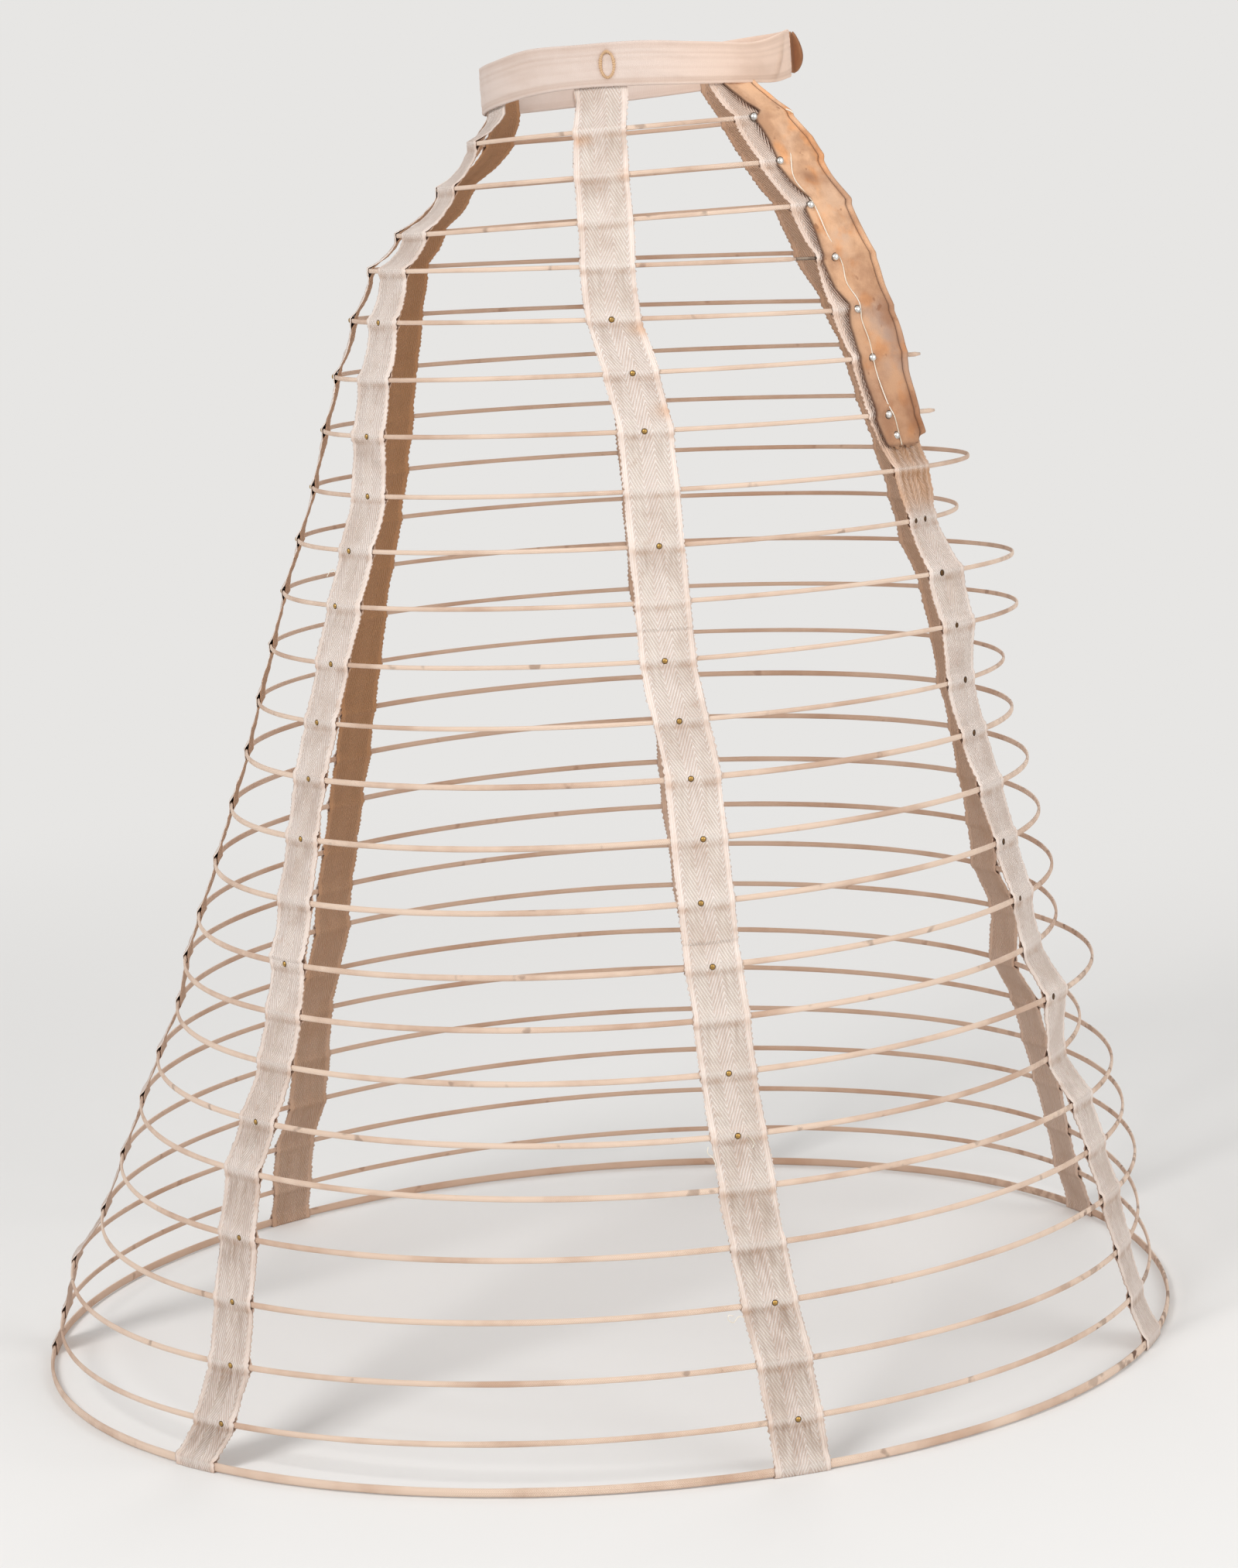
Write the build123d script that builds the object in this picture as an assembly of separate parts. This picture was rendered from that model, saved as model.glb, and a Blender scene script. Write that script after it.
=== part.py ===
from build123d import *
import math
import os

# Cage crinoline: 25 covered flat-steel hoops threaded through the pockets of seven
# doubled tapes that hang from a waistband, with a leather placket beside the opening.
# Millimetres, +Z up, +X towards the opening, origin on the ground under the middle of
# the hem. Bearings run anticlockwise from +X as seen from above.

# Hoops, numbered from the hem up
HOOP_GAPS = (30, 36, 37, 37, 37, 33, 39, 34, 33, 39, 38, 37, 36, 38, 37, 36, 36, 39, 38, 36, 35, 29, 30, 30)
CLOSED_HOOPS = 18
HEM_TALL = 6.0
HEM_THICK = 2.4
LOWER_TALL = 4.0
LOWER_THICK = 2.0
UPPER_TALL = 3.2
UPPER_THICK = 1.8
FIRST_UPPER_HOOP = 13

# Plan of the cage, as (height, size) pairs
BACK_REACH = ((0, 409), (70, 388), (105, 364), (180, 328), (250, 296), (285, 288), (430, 232), (540, 197),
              (615, 169), (690, 148), (765, 117), (790, 100), (820, 68), (850, 41), (900, 29))
HALF_DEPTH = ((0, 400), (140, 363), (320, 325), (350, 314), (430, 269), (505, 233), (580, 202), (615, 193),
              (900, 105))
CENTRE_LINE = ((0, 8), (890, 80))
# How far each hoop reaches towards the opening, and how far it would if it were closed
OPENING_REACH = (408, 396, 389, 390, 383, 377, 355, 367, 342, 341, 334, 328, 319, 315, 327, 326, 288, 298,
                 325, 318, 305, 294, 280, 262, 240)
POINT_POWER = 5
# Rise of each hoop towards the opening in mm for each 100 mm, as the worn cage hangs
HOOP_RISE = (0, 0.8, 0.4, 0.4, -0.6, -1.9, -1.8, -1.0, -0.6, -0.1, 0, -0.4, -0.7, -0.9, -1.0, -1.4, -1.6,
             -1.9, -2.3, -2.0, -3.8, -3.4, 0.8, 1.4, 2.2)
RISE_PIVOT = 34.0
HOOP_TURN = 18.0

# Tapes
TAPE_WIDTH = 38.0
TAPE_WEB = 1.2
TAPE_LAYER = 0.6
POCKET_PLAY = 0.3
EDGE_MARGIN = 2.0
SEAT_SPACE = 0.8
TUCK = 8.0
TUCK_DROP = 1.0
SIDE_BEARINGS = ((3, 285.7), (107, 283.8), (214, 281.9), (320, 279.8), (434, 278.3), (508, 275), (581, 273.7),
                 (656, 271.8), (694, 269.1), (730, 265.5), (794, 262.8), (854, 257.3), (880, 255.5))
TAPE_BEARINGS = {
    "tape_opening_far": ((3, 26), (107, 27), (253, 27.5), (397, 26.5), (470, 26.5), (545, 33), (581, 29),
                         (617, 33), (656, 38.6), (730, 42.1), (765, 45.8), (854, 49.7), (880, 53)),
    "tape_side_far": tuple((height, 360 - bearing) for height, bearing in SIDE_BEARINGS),
    "tape_back_far": ((3, 130), (107, 131.4), (181, 134.2), (287, 135.4), (434, 138.6), (581, 141),
                      (694, 144.2), (794, 151.8), (824, 155), (854, 148), (880, 152.5)),
    "tape_back": ((3, 180), (794, 180), (824, 177), (854, 169.5), (880, 176)),
    "tape_back_near": ((3, 227), (34, 228.4), (70, 229.2), (107, 226.5), (181, 222.8), (287, 223.5),
                       (434, 217.3), (617, 217), (656, 213.5), (694, 211.6), (794, 204), (824, 198.5),
                       (854, 191), (880, 199.5)),
    "tape_side_near": SIDE_BEARINGS,
    "tape_opening_near": ((3, 335.5), (107, 333.5), (287, 332), (434, 328.7), (508, 327), (545, 325.8),
                          (581, 328), (617, 324.9), (656, 318.2), (765, 314.2), (854, 310.3), (880, 306.6)),
}
PLACKET_TAPE = "tape_opening_near"
BUTTONHOLE_TAPE = "tape_side_near"

# Ends of the open hoops, measured from the middle of the tape beside the opening
NEAR_END = 28.0
STUB_END = 42.0
STUB_HOOPS = (18, 19)
FAR_END = 14.0
BARE_HOOP = 21
BARE_START = -33.0
STEEL_TALL = 2.2
STEEL_THICK = 0.6

# Waistband
BAND_BOTTOM = 878.0
BAND_TALL = 32.0
BAND_THICK = 2.2
BAND_CENTRE = 80.0
BAND_HALF_WIDTH = 108.0
BAND_HALF_DEPTH = 105.0
BAND_RISE = 0.06
BAND_SPLIT = 3.0
BUTTONHOLE_TALL = 12.0
BUTTONHOLE_WIDE = 5.0
BUTTONHOLE_SHIFT = 5.0
TAB_LENGTH = 15.0
TAB_TALL = 27.0
TAB_THICK = 1.6
TAB_CURL = 35.0

# Placket and its studs
PLACKET_WIDTH = 41.0
PLACKET_THICK = 1.6
# How far the placket's middle stands past the tape's, as (height, size) pairs
PLACKET_SHIFT = ((633, 0), (656, 5), (694, 6), (730, 11), (765, 8), (794, 12), (824, 14), (854, 12), (878, 6))
PLACKET_TAIL = 22.0
PLACKET_TAIL_WIDTH = 33.0
PLACKET_LIP = 3.5
LIP_RISE = 1.4
STUD_DIAMETER = 6.0
STUD_TALL = 2.4
STUD_SIDES = 8
STUD_LIFT = 0.9
TAIL_STUD_DROP = 14.0
SEAT_GAP = 0.2

UP = Vector(0, 0, 1)


def interpolate(pairs, height):
    """Value at a height, along straight lines between the (height, value) pairs."""
    if height <= pairs[0][0]:
        return pairs[0][1]
    for (low, start), (high, end) in zip(pairs, pairs[1:]):
        if height <= high:
            return start + (end - start) * (height - low) / (high - low)
    return pairs[-1][1]


class Ring:
    """A closed line around the wearer that tapes cross: a hoop, or the waistband."""

    def __init__(self, height, centre, half_width, half_depth, point, rise, pivot):
        self.height = height
        self.centre = centre
        self.half_width = half_width
        self.half_depth = half_depth
        self.point = point
        self.rise = rise
        self.pivot = pivot

    def at(self, bearing):
        """The plan is an ellipse whose opening side is drawn out to a point, in a tilted plane."""
        across = math.cos(math.radians(bearing))
        x = self.centre + self.half_width * across + self.point * max(across, 0) ** POINT_POWER
        y = self.half_depth * math.sin(math.radians(bearing))
        return Vector(x, y, self.height + self.rise * (x - self.pivot))

    def walk(self, bearing, distance):
        """The bearing a distance in mm further anticlockwise along the ring."""
        stride = (self.at(bearing + 1) - self.at(bearing - 1)).length / 2
        middle = bearing + distance / stride / 2
        stride = (self.at(middle + 1) - self.at(middle - 1)).length / 2
        return bearing + distance / stride


def hoop_ring(number):
    """The middle line of one hoop, counted from the hem."""
    hem_height = TAPE_LAYER + POCKET_PLAY + hoop_section(0)[0] / 2
    height = hem_height + sum(HOOP_GAPS[:number])
    centre = interpolate(CENTRE_LINE, height)
    half_width = centre + interpolate(BACK_REACH, height)
    point = OPENING_REACH[number] - centre - half_width
    depth = interpolate(HALF_DEPTH, height)
    return Ring(height, centre, half_width, depth, point, HOOP_RISE[number] / 100, RISE_PIVOT)


def hoop_section(number):
    """Height and thickness of a covered hoop: the hem's is the heaviest."""
    if number == 0:
        return HEM_TALL, HEM_THICK
    if number < FIRST_UPPER_HOOP:
        return LOWER_TALL, LOWER_THICK
    return UPPER_TALL, UPPER_THICK


class Seat:
    """Where a tape lies on a ring: a flat stretch a little wider than the tape."""

    def __init__(self, ring, bearing):
        half = TAPE_WIDTH / 2 + EDGE_MARGIN
        self.bearing = bearing
        self.low = ring.walk(bearing, -half)
        self.high = ring.walk(bearing, half)
        self.start = ring.at(self.low)
        self.end = ring.at(self.high)
        self.middle = (self.start + self.end) / 2
        self.along = (self.end - self.start).normalized()
        self.out = self.along.cross(UP).normalized()


def seats_on(ring):
    """Every tape's seat on a ring by name. From the back tape round both ways, none overlaps the last."""
    bearings = [interpolate(pairs, ring.height) for pairs in TAPE_BEARINGS.values()]
    room = TAPE_WIDTH + 2 * EDGE_MARGIN + SEAT_SPACE
    back = len(bearings) // 2
    for index in range(back + 1, len(bearings)):
        bearings[index] = max(bearings[index], ring.walk(bearings[index - 1], room))
    for index in range(back - 1, -1, -1):
        bearings[index] = min(bearings[index], ring.walk(bearings[index + 1], -room))
    return {name: Seat(ring, bearing) for name, bearing in zip(TAPE_BEARINGS, bearings)}


def seat(name, ring):
    """The seat of a named tape on a ring."""
    return seats_on(ring)[name]


def corners_between(pairs):
    """Bearings from the start to the end of each pair, in even steps no wider than one turn."""
    corners = []
    for start, end in pairs:
        runs = max(1, math.ceil((end - start) / HOOP_TURN))
        corners += [start + (end - start) * step / runs for step in range(runs + 1)]
    return corners


def faces_of(points, thick, closed):
    """Outer and inner corners of an upright band along corner points, with mitred corners."""
    outer = []
    inner = []
    count = len(points)
    for index, point in enumerate(points):
        before = points[index - 1] if closed or index > 0 else None
        after = points[(index + 1) % count] if closed or index < count - 1 else None
        sides = []
        for start, end in ((before, point), (point, after)):
            if start is not None and end is not None:
                sides.append((end - start).cross(UP).normalized())
        mitre = sum(sides, Vector(0, 0, 0))
        shift = mitre * (thick / 2 / (1 + sides[0].dot(sides[-1])) if len(sides) == 2 else thick / 2)
        outer.append(point + shift)
        inner.append(point - shift)
    return outer, inner


def level(points, ring, drop):
    """Points put back into the ring's tilted plane, a drop below its middle line."""
    return [Vector(p.X, p.Y, ring.height + ring.rise * (p.X - ring.pivot) - drop) for p in points]


def band_solid(points, ring, thick, tall, closed):
    """A solid band of rectangular section along corner points."""
    outer, inner = faces_of(points, thick, closed)
    outer = level(outer, ring, tall / 2)
    inner = level(inner, ring, tall / 2)
    if closed:
        face = Face(Wire.make_polygon(outer), [Wire.make_polygon(inner)])
    else:
        face = Face(Wire.make_polygon(outer + inner[::-1]))
    return Solid.extrude(face, UP * tall)


def gaps_between(seats):
    """Pairs of bearings from each seat to the next one."""
    return [(seat_a.high, seat_b.low) for seat_a, seat_b in zip(seats, seats[1:])]


def closed_hoop(number, ring, seats):
    """A hoop that runs all the way round, with its tip at bearing 0."""
    pairs = [(0, seats[0].low)] + gaps_between(seats) + [(seats[-1].high, 360)]
    points = [ring.at(bearing) for bearing in corners_between(pairs)[:-1]]
    tall, thick = hoop_section(number)
    return band_solid(points, ring, thick, tall, True)


def open_hoop(number, ring, seats):
    """A hoop that starts inside the far opening tape's pocket and ends under the placket."""
    far, near = seats[0], seats[-1]
    gaps = gaps_between(seats)
    end = []
    if number == BARE_HOOP:
        gaps[-1] = (gaps[-1][0], ring.walk(near.bearing, BARE_START))
    else:
        reach = STUB_END if number in STUB_HOOPS else NEAR_END
        end = [near.end, ring.at(ring.walk(near.bearing, reach))]
    points = [far.middle - far.along * FAR_END]
    points += [ring.at(bearing) for bearing in corners_between(gaps)]
    tall, thick = hoop_section(number)
    return band_solid(points + end, ring, thick, tall, False)


def bare_steel(ring, near):
    """The steel of the hoop whose cover has worn back, from the cover's end to the placket."""
    points = [ring.at(ring.walk(near.bearing, BARE_START + SEAT_GAP)), near.start, near.end]
    points.append(ring.at(ring.walk(near.bearing, NEAR_END)))
    return band_solid(points, ring, STEEL_THICK, STEEL_TALL, False)


def across_tape(middle, along, out, width, thick):
    """A rectangle across a tape, or across the slot in one."""
    side = along * (width / 2)
    face = out * (thick / 2)
    corners = (-side - face, side - face, side + face, face - side)
    return Wire.make_polygon([middle + corner for corner in corners])


def pocket_thickness(number):
    """Over both layers of a tape and the hoop between them."""
    return hoop_section(number)[1] + 2 * (POCKET_PLAY + TAPE_LAYER)


def pocket_half(number):
    """Half the height of the pocket that holds a hoop."""
    return hoop_section(number)[0] / 2 + POCKET_PLAY


def tuck_inset():
    """From the waistband's middle line to the middle of a tape tucked inside it."""
    return BAND_THICK / 2 + POCKET_PLAY + TAPE_WEB / 2


def make_tape(name, hoops, band):
    """A doubled tape from the hem to the waistband, opened into a pocket at each hoop."""
    sections = []
    slots = []
    top = None
    for number, ring in enumerate(hoops):
        here = seat(name, ring)
        half = pocket_half(number)
        thick = pocket_thickness(number)
        low = here.middle - UP * half
        if top is None:
            low -= UP * TAPE_LAYER
        else:
            along = (before.along + here.along).normalized()
            web = ((top + low) / 2, along, along.cross(UP).normalized(), TAPE_WIDTH, TAPE_WEB)
            sections.append(across_tape(*web))
        top = here.middle + UP * half
        for middle in (low, top):
            sections.append(across_tape(middle, here.along, here.out, TAPE_WIDTH, thick))
        mouth = across_tape(here.middle - UP * half, here.along, here.out, TAPE_WIDTH + EDGE_MARGIN,
                            hoop_section(number)[1] + 2 * POCKET_PLAY)
        slots.append(Solid.extrude(Face(mouth), UP * (2 * half)))
        before = here
    waist = seat(name, band)
    for drop in (BAND_TALL / 2 + TUCK_DROP, BAND_TALL / 2 - TUCK):
        middle = waist.middle - waist.out * tuck_inset() - UP * drop
        sections.append(across_tape(middle, waist.along, waist.out, TAPE_WIDTH, TAPE_WEB))
    return Solid.make_loft(sections, ruled=True).cut(*slots)


def waist_ring():
    """The middle line of the waistband."""
    height = BAND_BOTTOM + BAND_TALL / 2
    return Ring(height, BAND_CENTRE, BAND_HALF_WIDTH, BAND_HALF_DEPTH, 0, BAND_RISE, BAND_CENTRE)


def make_waistband(band, seats, button_seat):
    """A folded band round the waist, split at the opening, with one upright buttonhole."""
    pairs = [(band.walk(0, BAND_SPLIT), seats[0].low)] + gaps_between(seats)
    pairs.append((seats[-1].high, band.walk(360, -BAND_SPLIT)))
    points = [band.at(bearing) for bearing in corners_between(pairs)]
    strip = band_solid(points, band, BAND_THICK, BAND_TALL, False)
    middle = button_seat.middle + button_seat.along * BUTTONHOLE_SHIFT - button_seat.out * BAND_THICK
    half = BUTTONHOLE_TALL / 2
    shoulder = half - BUTTONHOLE_WIDE / 2
    side = button_seat.along * (BUTTONHOLE_WIDE / 2)
    outline = [UP * half, side + UP * shoulder, side - UP * shoulder]
    outline += [UP * -half, side * -1 - UP * shoulder, side * -1 + UP * shoulder]
    hole = Face(Wire.make_polygon([middle + corner for corner in outline]))
    return strip.cut(Solid.extrude(hole, button_seat.out * (2 * BAND_THICK)))


def make_tab(band):
    """The band's inner end, turned outwards beside the split."""
    clear = Vector(BAND_THICK / 2 + SEAT_GAP + TAB_THICK / 2, 0, 0)
    points = [band.at(band.walk(0, BAND_SPLIT + TAB_THICK)) + clear]
    heading = -90 + TAB_CURL / 2
    for _ in range(2):
        step = Vector(math.cos(math.radians(heading)), math.sin(math.radians(heading)), 0)
        points.append(points[-1] + step * (TAB_LENGTH / 2))
        heading += TAB_CURL
    return band_solid(points[::-1], band, TAB_THICK, TAB_TALL, False)


def placket_section(middle, along, out, width):
    """Across the placket: a flat strip with a raised fold along the opening edge."""
    half = PLACKET_THICK / 2
    outline = ((-width / 2, -half), (width / 2, -half), (width / 2, half + LIP_RISE),
               (width / 2 - PLACKET_LIP, half + LIP_RISE), (width / 2 - PLACKET_LIP - LIP_RISE, half),
               (-width / 2, half))
    return Wire.make_polygon([middle + along * across + out * rise for across, rise in outline])


def placket_offset(number):
    """From a hoop's middle line to the middle of the placket outside the tape."""
    return pocket_thickness(number) / 2 + POCKET_PLAY + PLACKET_THICK / 2


def tail_frame(hoops, drop):
    """Middle, run across and outward direction of the opening tape, a drop below the lowest open hoop."""
    upper = seat(PLACKET_TAPE, hoops[CLOSED_HOOPS])
    lower = seat(PLACKET_TAPE, hoops[CLOSED_HOOPS - 1])
    share = drop / (upper.middle.Z - lower.middle.Z)
    along = (upper.along * (1 - share) + lower.along * share).normalized()
    return upper.middle + (lower.middle - upper.middle) * share, along, along.cross(UP).normalized()


def make_placket(hoops, band):
    """A leather strip over the opening tape that covers the ends of the open hoops."""
    tail, along, out = tail_frame(hoops, PLACKET_TAIL)
    tail += along * interpolate(PLACKET_SHIFT, tail.Z) + out * placket_offset(CLOSED_HOOPS)
    sections = [placket_section(tail, along, out, PLACKET_TAIL_WIDTH)]
    for number in range(CLOSED_HOOPS, len(hoops)):
        here = seat(PLACKET_TAPE, hoops[number])
        shift = interpolate(PLACKET_SHIFT, hoops[number].height)
        middle = here.middle + here.along * shift + here.out * placket_offset(number)
        for rise in (-pocket_half(number), pocket_half(number)):
            sections.append(placket_section(middle + UP * rise, here.along, here.out, PLACKET_WIDTH))
    waist = seat(PLACKET_TAPE, band)
    inset = tuck_inset() - TAPE_WEB / 2 - POCKET_PLAY - PLACKET_THICK / 2
    middle = waist.middle + waist.along * interpolate(PLACKET_SHIFT, BAND_BOTTOM) - waist.out * inset
    middle -= UP * (BAND_TALL / 2 + TUCK_DROP)
    sections.append(placket_section(middle, waist.along, waist.out, PLACKET_WIDTH))
    return Solid.make_loft(sections, ruled=True)


def stud(middle, out):
    """A low domed stud, flat on its seat."""
    rings = []
    for radius, rise in ((STUD_DIAMETER / 2, 0), (STUD_DIAMETER / 4, STUD_TALL)):
        face = Plane(origin=middle + out * rise, z_dir=out, x_dir=UP)
        corners = []
        for side in range(STUD_SIDES):
            turn = 2 * math.pi * side / STUD_SIDES
            corners.append(face.from_local_coords(Vector(radius * math.cos(turn), radius * math.sin(turn), 0)))
        rings.append(Wire.make_polygon(corners))
    return Solid.make_loft(rings, ruled=True)


def make_studs(hoops):
    """One stud through the placket at each open hoop, and one in its tail."""
    studs = []
    for number in range(CLOSED_HOOPS, len(hoops)):
        here = seat(PLACKET_TAPE, hoops[number])
        lift = placket_offset(number) + PLACKET_THICK / 2 + STUD_LIFT
        studs.append(stud(here.middle + here.out * lift, here.out))
    tail, _, out = tail_frame(hoops, TAIL_STUD_DROP)
    lift = placket_offset(CLOSED_HOOPS) + PLACKET_THICK / 2 + STUD_LIFT
    studs.append(stud(tail + out * lift, out))
    return Compound(studs)


def build():
    """Every piece of the crinoline by name."""
    hoops = [hoop_ring(number) for number in range(len(HOOP_GAPS) + 1)]
    band = waist_ring()
    pieces = {}
    for number, ring in enumerate(hoops):
        seats = list(seats_on(ring).values())
        make = closed_hoop if number < CLOSED_HOOPS else open_hoop
        pieces[f"hoop_{number + 1:02d}"] = make(number, ring, seats)
    bare = hoops[BARE_HOOP]
    pieces[f"hoop_{BARE_HOOP + 1:02d}_bare_steel"] = bare_steel(bare, seat(PLACKET_TAPE, bare))
    for name in TAPE_BEARINGS:
        pieces[name] = make_tape(name, hoops, band)
    band_seats = seats_on(band)
    pieces["waistband"] = make_waistband(band, list(band_seats.values()), band_seats[BUTTONHOLE_TAPE])
    pieces["waistband_end"] = make_tab(band)
    pieces["placket"] = make_placket(hoops, band)
    pieces["placket_studs"] = make_studs(hoops)
    return pieces


os.makedirs("parts", exist_ok=True)
for name, piece in build().items():
    export_step(piece, f"parts/{name}.step")
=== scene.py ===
"""The looks of a cage crinoline: covered hoops, doubled tapes, waistband, placket, studs and threads."""

import logging
import math
from dataclasses import dataclass, field
from enum import Enum

import bpy
import numpy as np
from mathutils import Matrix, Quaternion, Vector


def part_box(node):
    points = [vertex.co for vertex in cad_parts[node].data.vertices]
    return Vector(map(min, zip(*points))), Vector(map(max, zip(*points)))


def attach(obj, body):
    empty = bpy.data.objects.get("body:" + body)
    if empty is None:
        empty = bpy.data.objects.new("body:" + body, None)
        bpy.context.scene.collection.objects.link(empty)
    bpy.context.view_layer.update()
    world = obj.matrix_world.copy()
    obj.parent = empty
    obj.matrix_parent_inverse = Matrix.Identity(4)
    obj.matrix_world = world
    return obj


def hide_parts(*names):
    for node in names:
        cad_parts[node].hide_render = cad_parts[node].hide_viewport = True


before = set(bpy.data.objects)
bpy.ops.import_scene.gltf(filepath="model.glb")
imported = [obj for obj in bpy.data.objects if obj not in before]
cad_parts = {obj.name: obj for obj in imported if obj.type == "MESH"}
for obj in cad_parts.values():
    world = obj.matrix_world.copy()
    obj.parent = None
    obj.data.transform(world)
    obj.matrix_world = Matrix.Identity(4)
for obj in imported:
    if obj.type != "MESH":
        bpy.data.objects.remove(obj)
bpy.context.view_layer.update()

log = logging.getLogger("crinoline")
Colour = tuple[float, float, float]
Pairs = tuple[tuple[float, float], ...]
Rows = tuple[tuple[float, ...], ...]
Marks = dict[str, np.ndarray]
Socket = bpy.types.NodeSocket
Piece = bpy.types.Object
MM = 0.001
TURN = 2 * np.pi
BODY = "root"
UP = np.array([0.0, 0.0, 1.0])

# The cage's plan in millimetres, as the construction has it, with the hoops numbered from the hem up.
# Reaches, depths, the centre line and bearings are (height, value) pairs. A hoop's rise is in hundredths.
HOOP_GAPS = (30, 36, 37, 37, 37, 33, 39, 34, 33, 39, 38, 37, 36, 38, 37, 36, 36, 39, 38, 36, 35, 29, 30, 30)
HOOPS = len(HOOP_GAPS) + 1
BACK_REACH = ((0, 409), (70, 388), (105, 364), (180, 328), (250, 296), (285, 288), (430, 232), (540, 197),
              (615, 169), (690, 148), (765, 117), (790, 100), (820, 68), (850, 41), (900, 29))
HALF_DEPTH = ((0, 400), (140, 363), (320, 325), (350, 314), (430, 269), (505, 233), (580, 202), (615, 193),
              (900, 105))
CENTRE_LINE = ((0, 8), (890, 80))
OPENING_REACH = (408, 396, 389, 390, 383, 377, 355, 367, 342, 341, 334, 328, 319, 315, 327, 326, 288, 298,
                 325, 318, 305, 294, 280, 262, 240)
HOOP_RISE = (0, 0.8, 0.4, 0.4, -0.6, -1.9, -1.8, -1.0, -0.6, -0.1, 0, -0.4, -0.7, -0.9, -1.0, -1.4, -1.6,
             -1.9, -2.3, -2.0, -3.8, -3.4, 0.8, 1.4, 2.2)
POINT_POWER = 5
RISE_PIVOT = 34.0
CLOSED_HOOPS = 18
FIRST_UPPER_HOOP = 13
STUB_HOOPS = (18, 19)
BARE_HOOP = 21
SIDE_BEARINGS = ((3, 285.7), (107, 283.8), (214, 281.9), (320, 279.8), (434, 278.3), (508, 275), (581, 273.7),
                 (656, 271.8), (694, 269.1), (730, 265.5), (794, 262.8), (854, 257.3), (880, 255.5))
TAPE_BEARINGS = {
    "opening_far": ((3, 26), (107, 27), (253, 27.5), (397, 26.5), (470, 26.5), (545, 33), (581, 29),
                    (617, 33), (656, 38.6), (730, 42.1), (765, 45.8), (854, 49.7), (880, 53)),
    "side_far": tuple((height, 360 - bearing) for height, bearing in SIDE_BEARINGS),
    "back_far": ((3, 130), (107, 131.4), (181, 134.2), (287, 135.4), (434, 138.6), (581, 141),
                 (694, 144.2), (794, 151.8), (824, 155), (854, 148), (880, 152.5)),
    "back": ((3, 180), (794, 180), (824, 177), (854, 169.5), (880, 176)),
    "back_near": ((3, 227), (34, 228.4), (70, 229.2), (107, 226.5), (181, 222.8), (287, 223.5),
                  (434, 217.3), (617, 217), (656, 213.5), (694, 211.6), (794, 204), (824, 198.5),
                  (854, 191), (880, 199.5)),
    "side_near": SIDE_BEARINGS,
    "opening_near": ((3, 335.5), (107, 333.5), (287, 332), (434, 328.7), (508, 327), (545, 325.8),
                     (581, 328), (617, 324.9), (656, 318.2), (765, 314.2), (854, 310.3), (880, 306.6)),
}

# How each tape hangs, is darkened and has worn, where it differs from the rest. The inner layer's brown tint
# is partly painted shade.
PLAIN_SLACK = 0.2
TAPE_SLACK = {"back": 0.75, "back_near": 0.7, "back_far": 0.6}
TAPE_WEAR: dict[str, dict] = {
    "opening_far": {"inner_browning_and_shade": 0.85, "darkened": 0.6},
    "back_far": {"inner_browning_and_shade": 1.1},
    "back": {"inner_browning_and_shade": 0.95},
    "back_near": {"tucks": (340,)},
    "side_near": {"tucks": (352, 545), "spots": ((723, 17, 5), (668, 18, 5), (824, 16, 3.5), (848, -13, 4))},
    "opening_near": {"darkened": 0.35, "stained": 588 * MM, "columns": 18},
}
FIRST_TAPE_SEED = 100
TAPE_SEED_STEP = 10
FIRST_HOOP_SEED = 40
TABLE_REACH = 100
TABLE_POINTS = 801


def interpolate(pairs: Pairs, height: float) -> float:
    """Value at a height on straight lines between (height, value) pairs, held level past either end."""
    heights, values = zip(*pairs)
    return float(np.interp(height, heights, values))


def bell(distance: np.ndarray, width: float) -> np.ndarray:
    """A hump of height 1 that falls off as exp(-(distance / width) squared)."""
    return np.exp(-((distance / width) ** 2))


def fade(share: np.ndarray) -> np.ndarray:
    """Falls smoothly from 1 at share 0 to 0 at share 1: (1 - t) squared times (1 + 2 t)."""
    t = np.clip(share, 0, 1)
    return (1 - t) ** 2 * (1 + 2 * t)


def blunt(wave: np.ndarray, power: float) -> np.ndarray:
    """A sine or cosine squared off: its size to a power below 1, with its own sign."""
    return np.sign(wave) * np.abs(wave) ** power


def unit(vectors: np.ndarray) -> np.ndarray:
    """The same vectors at length 1."""
    return vectors / np.maximum(np.linalg.norm(vectors, axis=-1, keepdims=True), 1e-12)


def spokes(side: np.ndarray, top: np.ndarray, count: int) -> np.ndarray:
    """Directions evenly round a circle: side times cos a plus top times sin a."""
    angle = np.linspace(0, TURN, count, endpoint=False)[:, None]
    return side[..., None, :] * np.cos(angle) + top[..., None, :] * np.sin(angle)


def distances(points: np.ndarray) -> np.ndarray:
    """How far along a path each of its points lies."""
    return np.concatenate([[0], np.cumsum(np.linalg.norm(np.diff(points, axis=0), axis=1))])


def pattern(across: np.ndarray, along: np.ndarray) -> np.ndarray:
    """Places on the flat pattern, from two coordinates that are stretched to one grid."""
    return np.stack(np.broadcast_arrays(across, along), axis=-1)


def linear(red: int, green: int, blue: int) -> Colour:
    """A display colour of 0 to 255 as light: ((c + 0.055) / 1.055) to the power 2.4."""
    return tuple(((c / 255 + 0.055) / 1.055) ** 2.4 for c in (red, green, blue))


def put_in_scene(name: str, data: bpy.types.ID) -> Piece:
    """Makes an object and links it into the scene.

    Args:
        name: of the object.
        data: its mesh, lamp or camera.

    Returns:
        The object.
    """
    made = bpy.data.objects.new(name, data)
    bpy.context.scene.collection.objects.link(made)
    return made


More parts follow.
